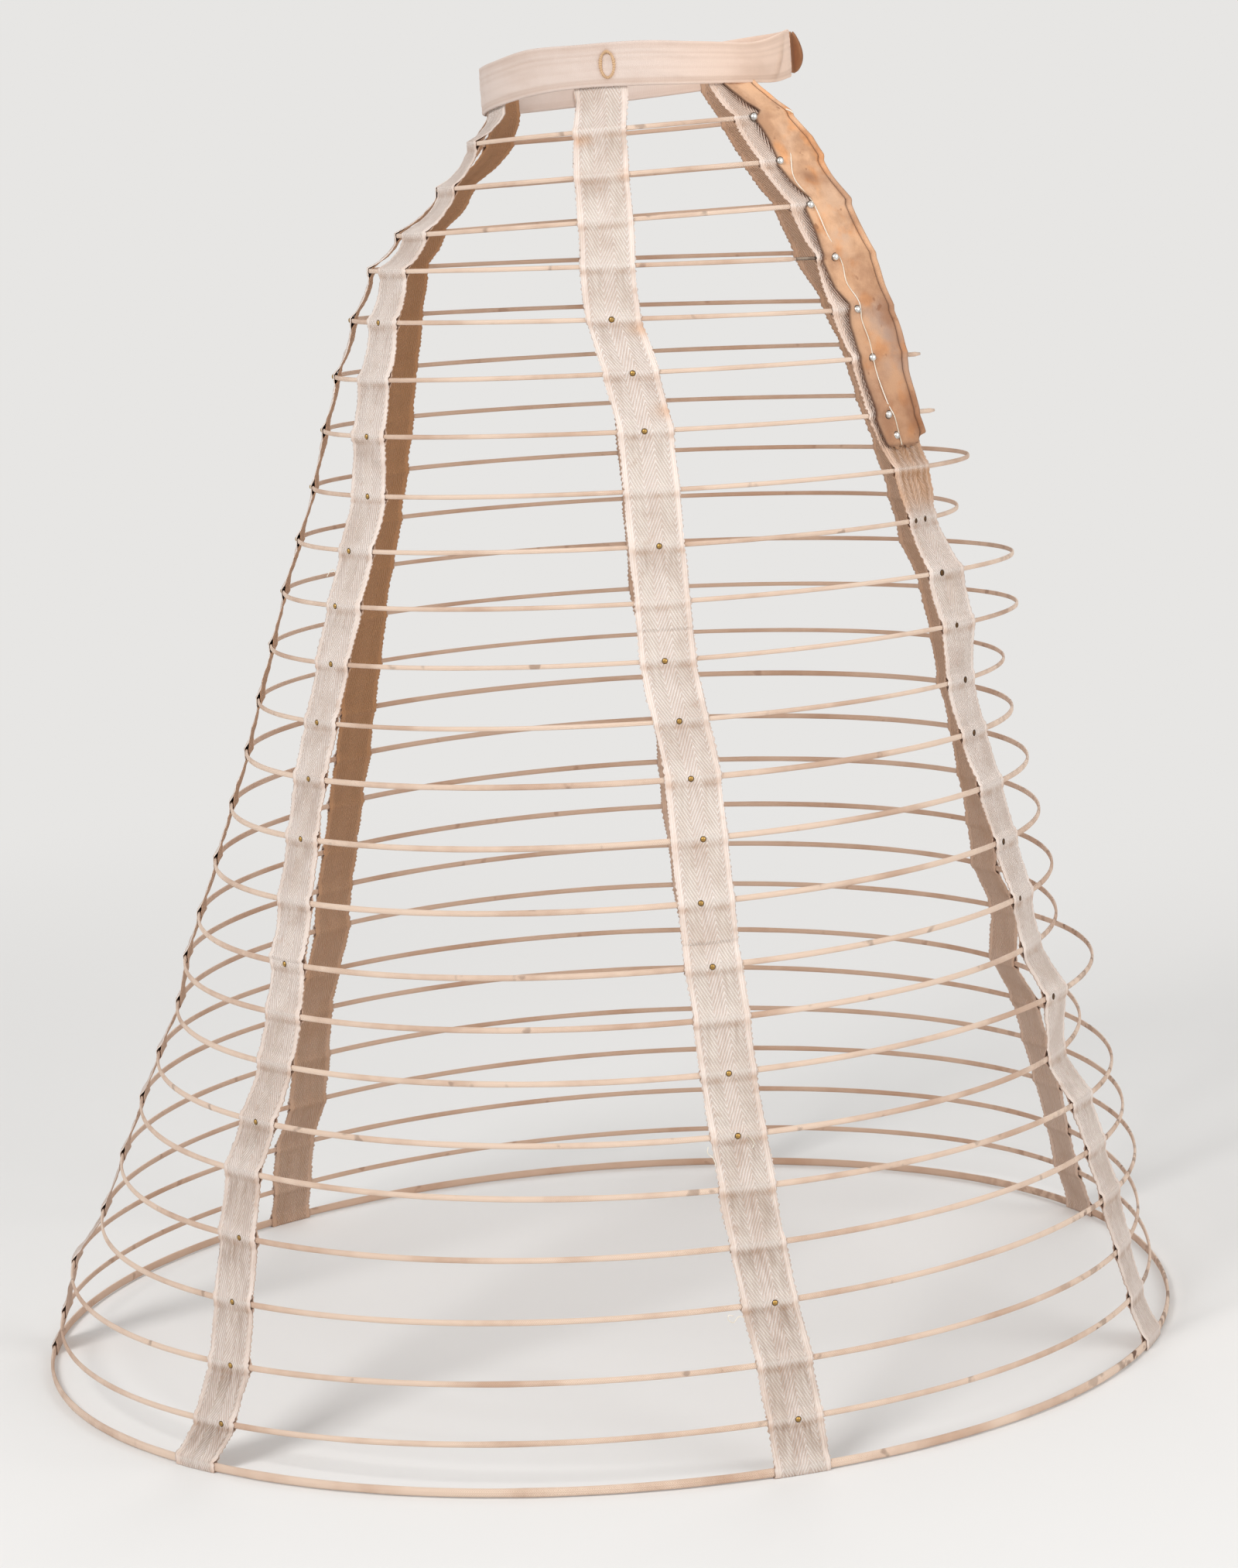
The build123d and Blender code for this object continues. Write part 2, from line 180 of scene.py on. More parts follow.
@dataclass(frozen=True)
class Wave:
    """A smooth random wave over one or two coordinates.

    It is mean + size times the mean of sines of the given wavelengths, each with a random phase, read
    at along times the first coordinate plus aside times the second.
    """

    lengths: tuple[float, ...]
    size: float = 1.0
    mean: float = 0.0
    along: float = 1.0
    aside: float = 0.0

    def at(self, seed: int, run: np.ndarray, across: np.ndarray | float = 0.0) -> np.ndarray:
        """Reads the wave.

        Args:
            seed: fixes the phases.
            run: the first coordinate.
            across: the second.

        Returns:
            A value for each place.
        """
        place = self.along * run + self.aside * across
        phases = np.random.default_rng(seed).uniform(0, TURN, len(self.lengths))
        waves = np.sin(TURN * place[..., None] / np.array(self.lengths) + phases)
        return self.mean + self.size * waves.mean(axis=-1)


@dataclass(frozen=True)
class Ring:
    """A closed line round the wearer, in metres: a hoop, or the waistband.

    At bearing b the plan is x = centre + half_width cos b + point max(cos b, 0) to the power 5 and
    y = half_depth sin b, and the height is height + rise (x - pivot).
    """

    height: float
    centre: float
    half_width: float
    half_depth: float
    point: float
    rise: float
    pivot: float

    def at(self, bearing: np.ndarray) -> np.ndarray:
        """Points of the line.

        Args:
            bearing: degrees from the opening, anticlockwise as seen from above.

        Returns:
            A point for each bearing.
        """
        across = np.cos(np.radians(bearing))
        x = self.centre + self.half_width * across + self.point * np.maximum(across, 0) ** POINT_POWER
        y = self.half_depth * np.sin(np.radians(bearing))
        return np.stack([x, y, self.height + self.rise * (x - self.pivot)], axis=-1)

    def outward(self, bearing: np.ndarray) -> np.ndarray:
        """Level unit vectors square to the line, away from the wearer."""
        step = self.at(bearing + 0.5) - self.at(bearing - 0.5)
        return unit(np.stack([step[..., 1], -step[..., 0], np.zeros_like(step[..., 0])], axis=-1))

    def travel(self, bearing: float, distance: np.ndarray) -> np.ndarray:
        """Bearings that lie given distances anticlockwise of one bearing.

        Args:
            bearing: where the distances start, in degrees.
            distance: metres along the line.

        Returns:
            Bearings in degrees, read from a table of the line's length.
        """
        table = np.linspace(bearing - TABLE_REACH, bearing + TABLE_REACH, TABLE_POINTS)
        run = distances(self.at(table))
        return np.interp(distance, run - np.interp(bearing, table, run), table)


@dataclass(frozen=True)
class Cage:
    """Sizes and places that the pieces share, in metres."""

    hem_section: tuple[float, float] = (6.0 * MM, 2.4 * MM)
    lower_section: tuple[float, float] = (4.0 * MM, 2.0 * MM)
    upper_section: tuple[float, float] = (3.2 * MM, 1.8 * MM)
    layer: float = 0.6 * MM
    play: float = 0.3 * MM
    band_height: float = 894 * MM
    band_tall: float = 32 * MM
    band_thick: float = 2.2 * MM
    band_centre: float = 80 * MM
    band_half_width: float = 108 * MM
    band_half_depth: float = 105 * MM
    band_rise: float = 0.06
    tuck_inset: float = 2.0 * MM
    tuck: float = 12 * MM
    tuck_drop: float = 1 * MM

    def section(self, number: int) -> tuple[float, float]:
        """Height and thickness of a covered hoop.

        Args:
            number: the hoop's, from 0 at the hem.

        Returns:
            The two sizes in metres.
        """
        if number == 0:
            return self.hem_section
        return self.lower_section if number < FIRST_UPPER_HOOP else self.upper_section

    def hoop(self, number: int) -> Ring:
        """The middle line of one hoop.

        Args:
            number: the hoop's, from 0 at the hem.

        Returns:
            Its line, with the reaches and depth read at its height.
        """
        height = (self.layer + self.play + self.hem_section[0] / 2) / MM + sum(HOOP_GAPS[:number])
        centre = interpolate(CENTRE_LINE, height)
        half_width = centre + interpolate(BACK_REACH, height)
        point = OPENING_REACH[number] - centre - half_width
        depth = interpolate(HALF_DEPTH, height)
        return Ring(height * MM, centre * MM, half_width * MM, depth * MM, point * MM,
                    HOOP_RISE[number] / 100, RISE_PIVOT * MM)

    def band(self) -> Ring:
        """The middle line of the waistband."""
        return Ring(self.band_height, self.band_centre, self.band_half_width, self.band_half_depth, 0,
                    self.band_rise, self.band_centre)


@dataclass
class MeshBuilder:
    """Gathers grids of points into one mesh with a flat pattern in metres and named marks."""

    points: list[np.ndarray] = field(default_factory=list)
    marks: list[Marks] = field(default_factory=list)
    corners: list[np.ndarray] = field(default_factory=list)
    flats: list[np.ndarray] = field(default_factory=list)
    count: int = 0

    def tube(self, points: np.ndarray, flat: np.ndarray, closed: bool = False,
             marks: Marks | None = None) -> None:
        """Adds a closed shell whose columns run round it and whose rows run along it, faces outwards.

        Args:
            points: rows by an even number of columns by 3.
            flat: the pattern's place, with one more column than points, and one more row if closed.
            closed: true where the last row meets the first; otherwise both ends get a cap.
            marks: a value for each point under each name.
        """
        rows, columns = points.shape[:2]
        index = np.arange(rows * columns).reshape(rows, columns)
        wrapped = np.concatenate([index, index[:, :1]], axis=1)
        if closed:
            wrapped = np.concatenate([wrapped, wrapped[:1]], axis=0)
        quads, places = self._quads(wrapped), self._quads(flat)
        if not closed:
            near = np.arange(columns // 2 - 1)
            cap = np.stack([near, near + 1, columns - 2 - near, columns - 1 - near], axis=-1)
            for row, order in ((0, (1, 0, 3, 2)), (rows - 1, (0, 1, 2, 3))):
                quads = np.concatenate([quads, index[row][cap[:, order]]])
                places = np.concatenate([places, flat[row][cap[:, order]]])
        listed = points.reshape(-1, 3)
        a, b, c, d = (listed[quads[:, corner]] for corner in range(4))
        if (a * (np.cross(b, c) + np.cross(c, d))).sum() < 0:
            quads, places = quads[:, ::-1], places[:, ::-1]
        self.corners.append(quads + self.count)
        self.flats.append(places)
        self.points.append(listed)
        self.marks.append({name: value.reshape(-1) for name, value in (marks or {}).items()})
        self.count += len(listed)

    @staticmethod
    def _quads(grid: np.ndarray) -> np.ndarray:
        """The four corners of every cell of a grid, as one list."""
        cells = np.stack([grid[:-1, :-1], grid[:-1, 1:], grid[1:, 1:], grid[1:, :-1]], axis=2)
        return cells.reshape(-1, 4, *grid.shape[2:])

    def build(self, name: str, material: bpy.types.Material) -> Piece:
        """Makes the piece, smooth shaded, at the origin, riding on the object's one body.

        Args:
            name: of the piece.
            material: its finish.

        Returns:
            The piece.
        """
        points = np.concatenate(self.points).astype(np.float32)
        corners = np.concatenate(self.corners).astype(np.int32)
        mesh = bpy.data.meshes.new(name)
        mesh.vertices.add(len(points))
        mesh.vertices.foreach_set("co", points.ravel())
        mesh.loops.add(corners.size)
        mesh.loops.foreach_set("vertex_index", corners.ravel())
        mesh.polygons.add(len(corners))
        mesh.polygons.foreach_set("loop_start", np.arange(0, corners.size, 4, dtype=np.int32))
        mesh.update(calc_edges=True)
        layer = mesh.uv_layers.new(name="flat")
        layer.data.foreach_set("uv", np.concatenate(self.flats).astype(np.float32).ravel())
        for mark in sorted({key for marks in self.marks for key in marks}):
            values = [marks.get(mark, np.zeros(len(part))) for marks, part in zip(self.marks, self.points)]
            attribute = mesh.attributes.new(mark, "FLOAT", "POINT")
            attribute.data.foreach_set("value", np.concatenate(values).astype(np.float32))
        mesh.shade_smooth()
        mesh.validate()
        mesh.materials.append(material)
        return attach(put_in_scene(name, mesh), BODY)


def sheet_shell(builder: MeshBuilder, middle: np.ndarray, flat: np.ndarray, thick: float,
                marks: Marks) -> None:
    """Adds a sheet of cloth or leather as a thin closed shell.

    The front is the middle surface plus half the thickness along its normal, which is the cross
    product of the steps across and along, and the back is minus half. The rim is half as thick.

    Args:
        builder: takes the shell.
        middle: rows along by columns across by 3.
        flat: the flat pattern's place of each middle point.
        thick: the thickness.
        marks: a value for each middle point under each name.
    """
    normal = unit(np.cross(np.gradient(middle, axis=1), np.gradient(middle, axis=0)))
    half = np.full(middle.shape[:2], thick / 2)
    half[:, [0, -1]] /= 2
    front = middle + normal * half[..., None]
    back = middle - normal * half[..., None]
    around = np.concatenate([flat, flat[:, ::-1], flat[:, :1]], axis=1)
    doubled = {name: np.concatenate([value, value[:, ::-1]], axis=1) for name, value in marks.items()}
    builder.tube(np.concatenate([front, back[:, ::-1]], axis=1), around, marks=doubled)


def smooth_path(points: np.ndarray, count: int) -> np.ndarray:
    """A smooth line through points: on each span p = c0 + c1 t + c2 t^2 + c3 t^3 with Catmull-Rom slopes.

    Args:
        points: the points that the line goes through.
        count: how many points to return.

    Returns:
        Points evenly spaced in the line's own parameter.
    """
    ends = np.concatenate([[2 * points[0] - points[1]], points, [2 * points[-1] - points[-2]]])
    place = np.linspace(0, len(points) - 1, count)
    span = np.minimum(place.astype(int), len(points) - 2)
    t = (place - span)[:, None]
    a, b, c, d = (ends[span + i] for i in range(4))
    return b + (c - a) / 2 * t + (a - 2.5 * b + 2 * c - d / 2) * t**2 + (1.5 * (b - c) + (d - a) / 2) * t**3


def strand(builder: MeshBuilder, path: np.ndarray, radius: float) -> None:
    """Adds a thread: a circle of the radius carried along a path, about a third as thick at its ends.

    Args:
        builder: takes the shell.
        path: the thread's middle line.
        radius: of the thread.
    """
    sides, tip, off_axis = 6, 0.35, 0.01
    along = unit(np.gradient(path, axis=0))
    side = unit(np.cross(along, UP + off_axis))
    size = np.full(len(path), radius)
    size[[0, -1]] *= tip
    ring = spokes(side, np.cross(side, along), sides)
    flat = pattern(distances(path)[:, None], np.linspace(0, TURN, sides + 1) * radius)
    builder.tube(path[:, None] + ring * size[:, None, None], flat)


@dataclass(frozen=True)
class Stud:
    """A domed stud on a flat rim: a half ellipse turned about its axis.

    The edge is the rim's thickness and the foot where the dome starts, as shares of the height. The
    hub closes both ends, as a share of the radius.
    """

    radius: float
    tall: float
    rim: float = 0.35 * MM
    edge: float = 0.12
    foot: float = 0.15
    hub: float = 0.02
    sides: int = 20
    steps: int = 7

    def add(self, builder: MeshBuilder, seat: np.ndarray, out: np.ndarray) -> None:
        """Adds the stud.

        Args:
            builder: takes the shell.
            seat: the middle of the stud's flat back.
            out: unit vector along its axis.
        """
        turn = np.linspace(0, np.pi / 2, self.steps)[:-1]
        hub, brim = self.hub * self.radius, self.radius + self.rim
        reach = np.concatenate([[hub, brim, brim], self.radius * np.cos(turn), [hub]])
        dome = self.foot * self.tall + (1 - self.foot) * self.tall * np.sin(turn)
        rise = np.concatenate([[0, 0, self.edge * self.tall], dome, [self.tall]])
        side = unit(np.cross(UP, out))
        ring = spokes(side, np.cross(out, side), self.sides)
        points = seat + ring[None] * reach[:, None, None] + out * rise[:, None, None]
        flat = pattern(reach[:, None], np.linspace(0, 20 * MM, self.sides + 1))
        # the ring mark: rim and foot of the dome, painted shade in the metal finishes
        low = (rise < (self.foot + 0.01) * self.tall).astype(float)
        builder.tube(points, flat, marks={"ring": np.broadcast_to(low[:, None], points.shape[:2])})


class Nodes:
    """Adds nodes to one tree and joins them."""

    def __init__(self, tree: bpy.types.NodeTree) -> None:
        """Starts an empty tree."""
        self.tree = tree
        tree.nodes.clear()

    def add(self, kind: str, inputs: dict | None = None, **settings: object) -> bpy.types.Node:
        """Adds a node.

        Args:
            kind: the node's type.
            inputs: values, or sockets to link, by the input's name or number.
            settings: the node's own settings.

        Returns:
            The new node.
        """
        node = self.tree.nodes.new(kind)
        for name, value in settings.items():
            setattr(node, name, value)
        for name, value in (inputs or {}).items():
            if isinstance(value, Socket):
                self.tree.links.new(value, node.inputs[name])
            else:
                node.inputs[name].default_value = value
        return node

    def group(self, tree: bpy.types.NodeTree, **inputs: object) -> bpy.types.bpy_prop_collection:
        """Places a shared effect with its own values and gives its outputs."""
        return self.add("ShaderNodeGroup", inputs, node_tree=tree).outputs

    def math(self, operation: str, *values: object) -> Socket:
        """One arithmetic step on values or sockets."""
        return self.add("ShaderNodeMath", dict(enumerate(values)), operation=operation).outputs[0]

    def times(self, value: object, factor: object) -> Socket:
        """A product."""
        return self.math("MULTIPLY", value, factor)

    def line(self, value: object, slope: object, start: object) -> Socket:
        """A value times a slope, plus a start."""
        return self.math("MULTIPLY_ADD", value, slope, start)

    def sine(self, value: object, length: float = 1.0) -> Socket:
        """A wave from -1 to 1 that repeats over a length."""
        return self.math("SINE", self.times(value, TURN / length))

    def mix(self, share: object, first: object, second: object) -> Socket:
        """A blend of two colours by a share.

        Args:
            share: 0 for the first colour and 1 for the second.
            first: a colour or a socket.
            second: a colour or a socket.

        Returns:
            The blend.
        """
        colours = [c if isinstance(c, Socket) else (*c, 1.0) for c in (first, second)]
        inputs = {0: share, 6: colours[0], 7: colours[1]}
        return self.add("ShaderNodeMix", inputs, data_type="RGBA").outputs[2]

    def coats(self, ground: Colour, *coats: tuple[object, float, Colour]) -> Socket:
        """Lays colours over a ground, one after another.

        Args:
            ground: the lowest colour.
            coats: each coat's mask or the name of its mark, its strength and its colour.

        Returns:
            The colour on top.
        """
        colour = ground
        for mask, strength, over in coats:
            mask = self.mark(mask) if isinstance(mask, str) else mask
            colour = self.mix(mask if strength == 1 else self.times(mask, strength), colour, over)
        return colour

    def noise(self, vector: object, scale: object, detail: float = 3.0, roughness: float = 0.5) -> Socket:
        """Smooth random values from 0 to 1."""
        inputs = {"Vector": vector, "Scale": scale, "Detail": detail, "Roughness": roughness}
        return self.add("ShaderNodeTexNoise", inputs).outputs[0]

    def between(self, value: object, low: float, high: float) -> Socket:
        """0 below low and 1 above high, with a smooth step from one to the other."""
        inputs = {"Value": value, "From Min": low, "From Max": high}
        return self.add("ShaderNodeMapRange", inputs, interpolation_type="SMOOTHSTEP").outputs[0]

    def streaks(self, across: float, along: float, low: float, high: float) -> Socket:
        """A mask of streaks on the flat pattern.

        Args:
            across: streaks to the metre across the cloth.
            along: and along it.
            low: the noise's value where a streak starts.
            high: and where it is full.

        Returns:
            The mask.
        """
        stretched = self.add("ShaderNodeMapping", {"Vector": self.flat(), "Scale": (across, along, 1.0)})
        return self.between(self.noise(stretched.outputs[0], 1.0, 4.0), low, high)

    def mark(self, name: str) -> Socket:
        """A mark carried by the mesh."""
        return self.add("ShaderNodeAttribute", attribute_name=name).outputs["Fac"]

    def flat(self) -> Socket:
        """The flat pattern's place in metres."""
        return self.add("ShaderNodeUVMap", uv_map="flat").outputs[0]

    def place(self) -> Socket:
        """The point itself in metres."""
        return self.add("ShaderNodeTexCoord").outputs["Object"]

    def axes(self, vector: Socket) -> tuple[Socket, Socket]:
        """The x and the y of a vector."""
        apart = self.add("ShaderNodeSeparateXYZ", {0: vector})
        return apart.outputs[0], apart.outputs[1]


class Effects:
    """Node groups that several finishes share: each puts out masks or a height."""

    column = 9 * MM
    yarn = 0.9 * MM
    rib = 1.6 * MM
    selvedge_step = 0.6 * MM

    def __init__(self) -> None:
        """Makes each group once."""
        self.herringbone = self._herringbone()
        self.braid = self._braid()
        self.soiling = self._soiling()

    @staticmethod
    def _start(name: str, inputs: tuple[str, ...],
               outputs: tuple[str, ...]) -> tuple[Nodes, bpy.types.bpy_prop_collection]:
        """An empty group with its sockets.

        Args:
            name: of the group.
            inputs: names of a vector and of the values after it.
            outputs: names of the values that it puts out.

        Returns:
            The group's nodes and what it is given.
        """
        tree = bpy.data.node_groups.new(name, "ShaderNodeTree")
        for number, label in enumerate(inputs):
            kind = "NodeSocketFloat" if number else "NodeSocketVector"
            tree.interface.new_socket(label, in_out="INPUT", socket_type=kind)
        for label in outputs:
            tree.interface.new_socket(label, in_out="OUTPUT", socket_type="NodeSocketFloat")
        nodes = Nodes(tree)
        return nodes, nodes.add("NodeGroupInput").outputs

    def _herringbone(self) -> bpy.types.NodeTree:
        """Steep twill lines whose slant turns back from column to column, with plain ribbed selvedges.

        Returns:
            A group from the flat pattern, the lines' pitch and the selvedge's place to a height.
        """
        nodes, given = self._start("Herringbone", ("Flat", "Pitch", "Selvedge"), ("Height",))
        x, y = nodes.axes(given["Flat"])
        column = nodes.math("PINGPONG", nodes.math("ADD", x, 1.5 * self.column), self.column)
        lines = nodes.sine(nodes.math("DIVIDE", nodes.line(column, 2.1, y), given["Pitch"]))
        twill = nodes.line(nodes.sine(y, self.yarn), 0.25, lines)
        rib = nodes.times(nodes.sine(x, self.rib), 0.4)
        past = nodes.math("SUBTRACT", nodes.math("ABSOLUTE", x), given["Selvedge"])
        edge = nodes.between(past, 0.0, self.selvedge_step)
        mixed = nodes.add("ShaderNodeMix", {0: edge, 2: twill, 3: rib}, data_type="FLOAT").outputs[0]
        nodes.add("NodeGroupOutput", {"Height": nodes.line(mixed, 0.4, 0.5)})
        return nodes.tree

    def _braid(self) -> bpy.types.NodeTree:
        """Two sets of slanting threads that cross, as on a braided cover.

        Returns:
            A group from the flat pattern and the threads' pitch to a height.
        """
        nodes, given = self._start("Braid", ("Flat", "Pitch"), ("Height",))
        x, y = nodes.axes(given["Flat"])
        turns = [nodes.math("DIVIDE", nodes.line(y, slope, x), given["Pitch"]) for slope in (1.1, -1.1)]
        top = nodes.math("MAXIMUM", *(nodes.sine(turn) for turn in turns))
        nodes.add("NodeGroupOutput", {"Height": nodes.line(top, 0.5, 0.5)})
        return nodes.tree

    def _soiling(self) -> bpy.types.NodeTree:
        """Broad soft soiling and small hard spots.

        Returns:
            A group from a place and the two scales to a mask of each.
        """
        nodes, given = self._start("Soiling", ("Place", "Patch", "Spot"), ("Patches", "Spots"))
        broad = nodes.noise(given["Place"], given["Patch"], 5.0, 0.6)
        fine = nodes.noise(given["Place"], given["Spot"], 2.0)
        nodes.add("NodeGroupOutput", {"Patches": nodes.between(broad, 0.42, 0.68),
                                      "Spots": nodes.between(fine, 0.66, 0.74)})
        return nodes.tree


@dataclass(frozen=True)
class Surface:
    """What a finish gives its shader: values and sockets, and a relief with its depth in metres."""

    values: dict[str, object]
    relief: Socket
    depth: float


@dataclass(frozen=True)
class Finish:
    """A finish: its name, its record slot and its main colour."""

    name: str
    slot: str
    ground: Colour

    def material(self, effects: Effects) -> bpy.types.Material:
        """Builds the finish.

        Args:
            effects: the groups that finishes share.

        Returns:
            The new material.
        """
        material = bpy.data.materials.new(self.name)
        material.use_nodes = True
        nodes = Nodes(material.node_tree)
        surface = self.surface(nodes, effects)
        relief = {"Strength": 1.0, "Distance": surface.depth, "Height": surface.relief}
        bump = nodes.add("ShaderNodeBump", relief)
        shader = nodes.add("ShaderNodeBsdfPrincipled", {**surface.values, "Normal": bump.outputs[0]})
        nodes.add("ShaderNodeOutputMaterial", {"Surface": shader.outputs[0]})
        return material

    def surface(self, nodes: Nodes, effects: Effects) -> Surface:
        """The finish's own look, which each kind of finish gives."""
        raise NotImplementedError


@dataclass(frozen=True)
class TwillFinish(Finish):
    """Herringbone twill with grey-brown soiling and darkening, painted shade and highlights, and an inner
    side that is partly brown with age, partly painted shade.
    """

    soil: Colour
    aged_and_shade: Colour
    stain: Colour
    grime: Colour
    pitch: float = 4.2 * MM
    selvedge: float = 14.6 * MM

    def surface(self, nodes: Nodes, effects: Effects) -> Surface:
        """Soiling, streaks, stains and darkening over the ground, with painted shade in the creases, on the
        inner side and in the hollows of the weave, and a painted highlight on the ridges.

        Args:
            nodes: the material's tree.
            effects: the groups that finishes share.

        Returns:
            The shader's values and the weave.
        """
        weave = nodes.group(effects.herringbone, Flat=nodes.flat(), Pitch=self.pitch, Selvedge=self.selvedge)
        soiling = nodes.group(effects.soiling, Place=nodes.place(), Patch=30.0, Spot=95.0)
        streak = nodes.streaks(380.0, 45.0, 0.38, 0.68)
        grime = nodes.times(nodes.mark("grime"), nodes.line(streak, 0.6, 0.4))
        hollow_shade = nodes.line(weave["Height"], -0.5, 0.43)
        # The crease, inside and weave-hollow coats are painted shade, the inside one partly brown with age
        # too, and the ridge coat is a painted highlight.
        colour = nodes.coats(
            self.ground, (soiling["Patches"], 0.6, self.soil), (streak, 0.28, self.soil),
            (grime, 1, self.grime), (soiling["Spots"], 0.2, self.aged_and_shade), ("stain", 0.8, self.stain),
            ("crease", 0.8, self.aged_and_shade), ("inside", 0.9, self.aged_and_shade), (hollow_shade, 1, self.aged_and_shade),
            ("ridge", 0.5, self.ground))
        values = {"Base Color": colour, "Roughness": 0.92, "Sheen Weight": 0.1, "Sheen Roughness": 0.6,
                  "Specular IOR Level": 0.2}
        return Surface(values, weave["Height"], 0.9 * MM)


@dataclass(frozen=True)
class BraidFinish(Finish):
    """Braided cotton cover, brown in patches and rust-spotted towards the opening, with painted shade on its
    inner side and in the hollows of the braid.
    """

    brown_and_shade: Colour
    rust: Colour
    pitch: float = 1.5 * MM
    rusty: tuple[float, float] = (0.27, 0.37)

    def surface(self, nodes: Nodes, effects: Effects) -> Surface:
        """Brown patches and rust over the ground, with scabs of rust only near the opening, and painted shade
        on the inner side and in the hollows of the braid.

        Args:
            nodes: the material's tree.
            effects: the groups that finishes share.

        Returns:
            The shader's values and the braid.
        """
        place = nodes.place()
        braid = nodes.group(effects.braid, Flat=nodes.flat(), Pitch=self.pitch)
        soiling = nodes.group(effects.soiling, Place=place, Patch=11.0, Spot=70.0)
        opening = nodes.between(nodes.axes(place)[0], *self.rusty)
        spots = nodes.times(soiling["Spots"], nodes.line(opening, 0.5, 0.45))
        scabs = nodes.times(nodes.between(nodes.noise(place, 90.0), 0.5, 0.64), opening)
        rust = nodes.math("MAXIMUM", spots, nodes.times(scabs, 0.6))
        # painted shade in the hollows of the braid, and below it painted shade on the hoop's inner side
        hollow_shade = nodes.line(braid["Height"], -0.35, 0.35)
        colour = nodes.coats(self.ground, (soiling["Patches"], 0.6, self.brown_and_shade), (rust, 1, self.rust),
                             ("inside", 0.5, self.brown_and_shade), (hollow_shade, 1, self.brown_and_shade))
        values = {"Base Color": colour, "Roughness": 0.85, "Sheen Weight": 0.1, "Specular IOR Level": 0.25}
        return Surface(values, braid["Height"], 0.3 * MM)


@dataclass(frozen=True)
class BandFinish(Finish):
    """Fine folded twill, warmer towards the opening, darkened along its crease mark, which on the band is
    painted shade in its folds.
    """

    warm: Colour
    soil: Colour
    warmer: tuple[float, float] = (0.06, 0.19)
    rib: float = 1.1 * MM
    yarn: float = 0.9 * MM

    def surface(self, nodes: Nodes, effects: Effects) -> Surface:
        """A warmer tint, soiling, and darkening along the crease mark over the ground, with slanting ribs.

        Args:
            nodes: the material's tree.
            effects: the groups that finishes share.

        Returns:
            The shader's values and the ribs.
        """
        place = nodes.place()
        x, y = nodes.axes(nodes.flat())
        ribs = nodes.math("ADD", nodes.sine(nodes.line(x, 0.8, y), self.rib), nodes.sine(x, self.yarn))
        soiling = nodes.group(effects.soiling, Place=place, Patch=24.0, Spot=120.0)
        streak = nodes.streaks(18.0, 420.0, 0.45, 0.8)
        opening = nodes.between(nodes.axes(place)[0], *self.warmer)
        # the crease coat is painted shade in the band's folds, round the buttonhole and in the pinch, with a
        # stain added; on the lining it marks the leaf's side edges
        colour = nodes.coats(self.ground, (opening, 0.8, self.warm), (soiling["Patches"], 0.14, self.soil),
                             (streak, 0.07, self.soil), ("crease", 0.6, self.soil))
        values = {"Base Color": colour, "Roughness": 0.9, "Sheen Weight": 0.15, "Specular IOR Level": 0.2}
        return Surface(values, nodes.line(ribs, 0.25, 0.5), 0.12 * MM)


@dataclass(frozen=True)
class LeatherFinish(Finish):
    """Thin worn leather: orange-tan ground, pale rubbed areas, brown smudges and painted shade along its
    edges and groove.
    """

    rubbed: Colour
    bright: Colour
    brown: Colour
    edge_shade: Colour

    def surface(self, nodes: Nodes, effects: Effects) -> Surface:
        """Rubbed, bright and brown patches, smudges and painted shade at the edges over the ground, with a
        pored grain.

        Args:
            nodes: the material's tree.
            effects: the groups that finishes share.

        Returns:
            The shader's values and the grain.
        """
        place = nodes.place()
        soiling = nodes.group(effects.soiling, Place=place, Patch=38.0, Spot=130.0)
        rub = nodes.between(nodes.noise(place, 26.0, 4.0), 0.45, 0.62)
        glow = nodes.between(nodes.noise(place, 47.0), 0.52, 0.68)
        # the crease coat is painted shade along the free left edge, the foot, the groove and the right edge
        colour = nodes.coats(
            self.ground, (nodes.times(rub, nodes.mark("grey")), 1, self.rubbed), (glow, 0.7, self.bright),
            (soiling["Patches"], 0.5, self.brown), (soiling["Spots"], 0.6, self.brown),
            ("smudge", 0.75, self.brown), ("crease", 0.9, self.edge_shade))
        cells = nodes.add("ShaderNodeTexVoronoi", {"Vector": place, "Scale": 900.0})
        grain = nodes.line(nodes.noise(place, 300.0, 4.0), 0.6, nodes.times(cells.outputs[0], 0.4))
        values = {"Base Color": colour, "Roughness": nodes.line(rub, 0.15, 0.58), "Specular IOR Level": 0.35}
        return Surface(values, grain, 0.25 * MM)


@dataclass(frozen=True)
class MetalFinish(Finish):
    """Metal with a patina in patches, and painted shade on its rim."""

    patina: Colour
    roughness: float
    patch: float

    def surface(self, nodes: Nodes, effects: Effects) -> Surface:
        """A patina in patches and painted shade on the rim, both rougher and less metallic than the ground.

        Args:
            nodes: the material's tree.
            effects: the groups that finishes share.

        Returns:
            The shader's values and a fine pitting.
        """
        place = nodes.place()
        soiling = nodes.group(effects.soiling, Place=place, Patch=self.patch, Spot=self.patch * 3)
        # patches of patina, and painted shade on the rim and foot from the ring mark
        patina_and_rim_shade = nodes.math("MAXIMUM", nodes.times(soiling["Patches"], 0.5), nodes.mark("ring"))
        values = {"Base Color": nodes.coats(self.ground, (patina_and_rim_shade, 1, self.patina)),
                  "Roughness": nodes.line(patina_and_rim_shade, 0.4, self.roughness), "Metallic": nodes.line(patina_and_rim_shade, -0.7, 1.0)}
        return Surface(values, nodes.noise(place, 700.0), 0.06 * MM)


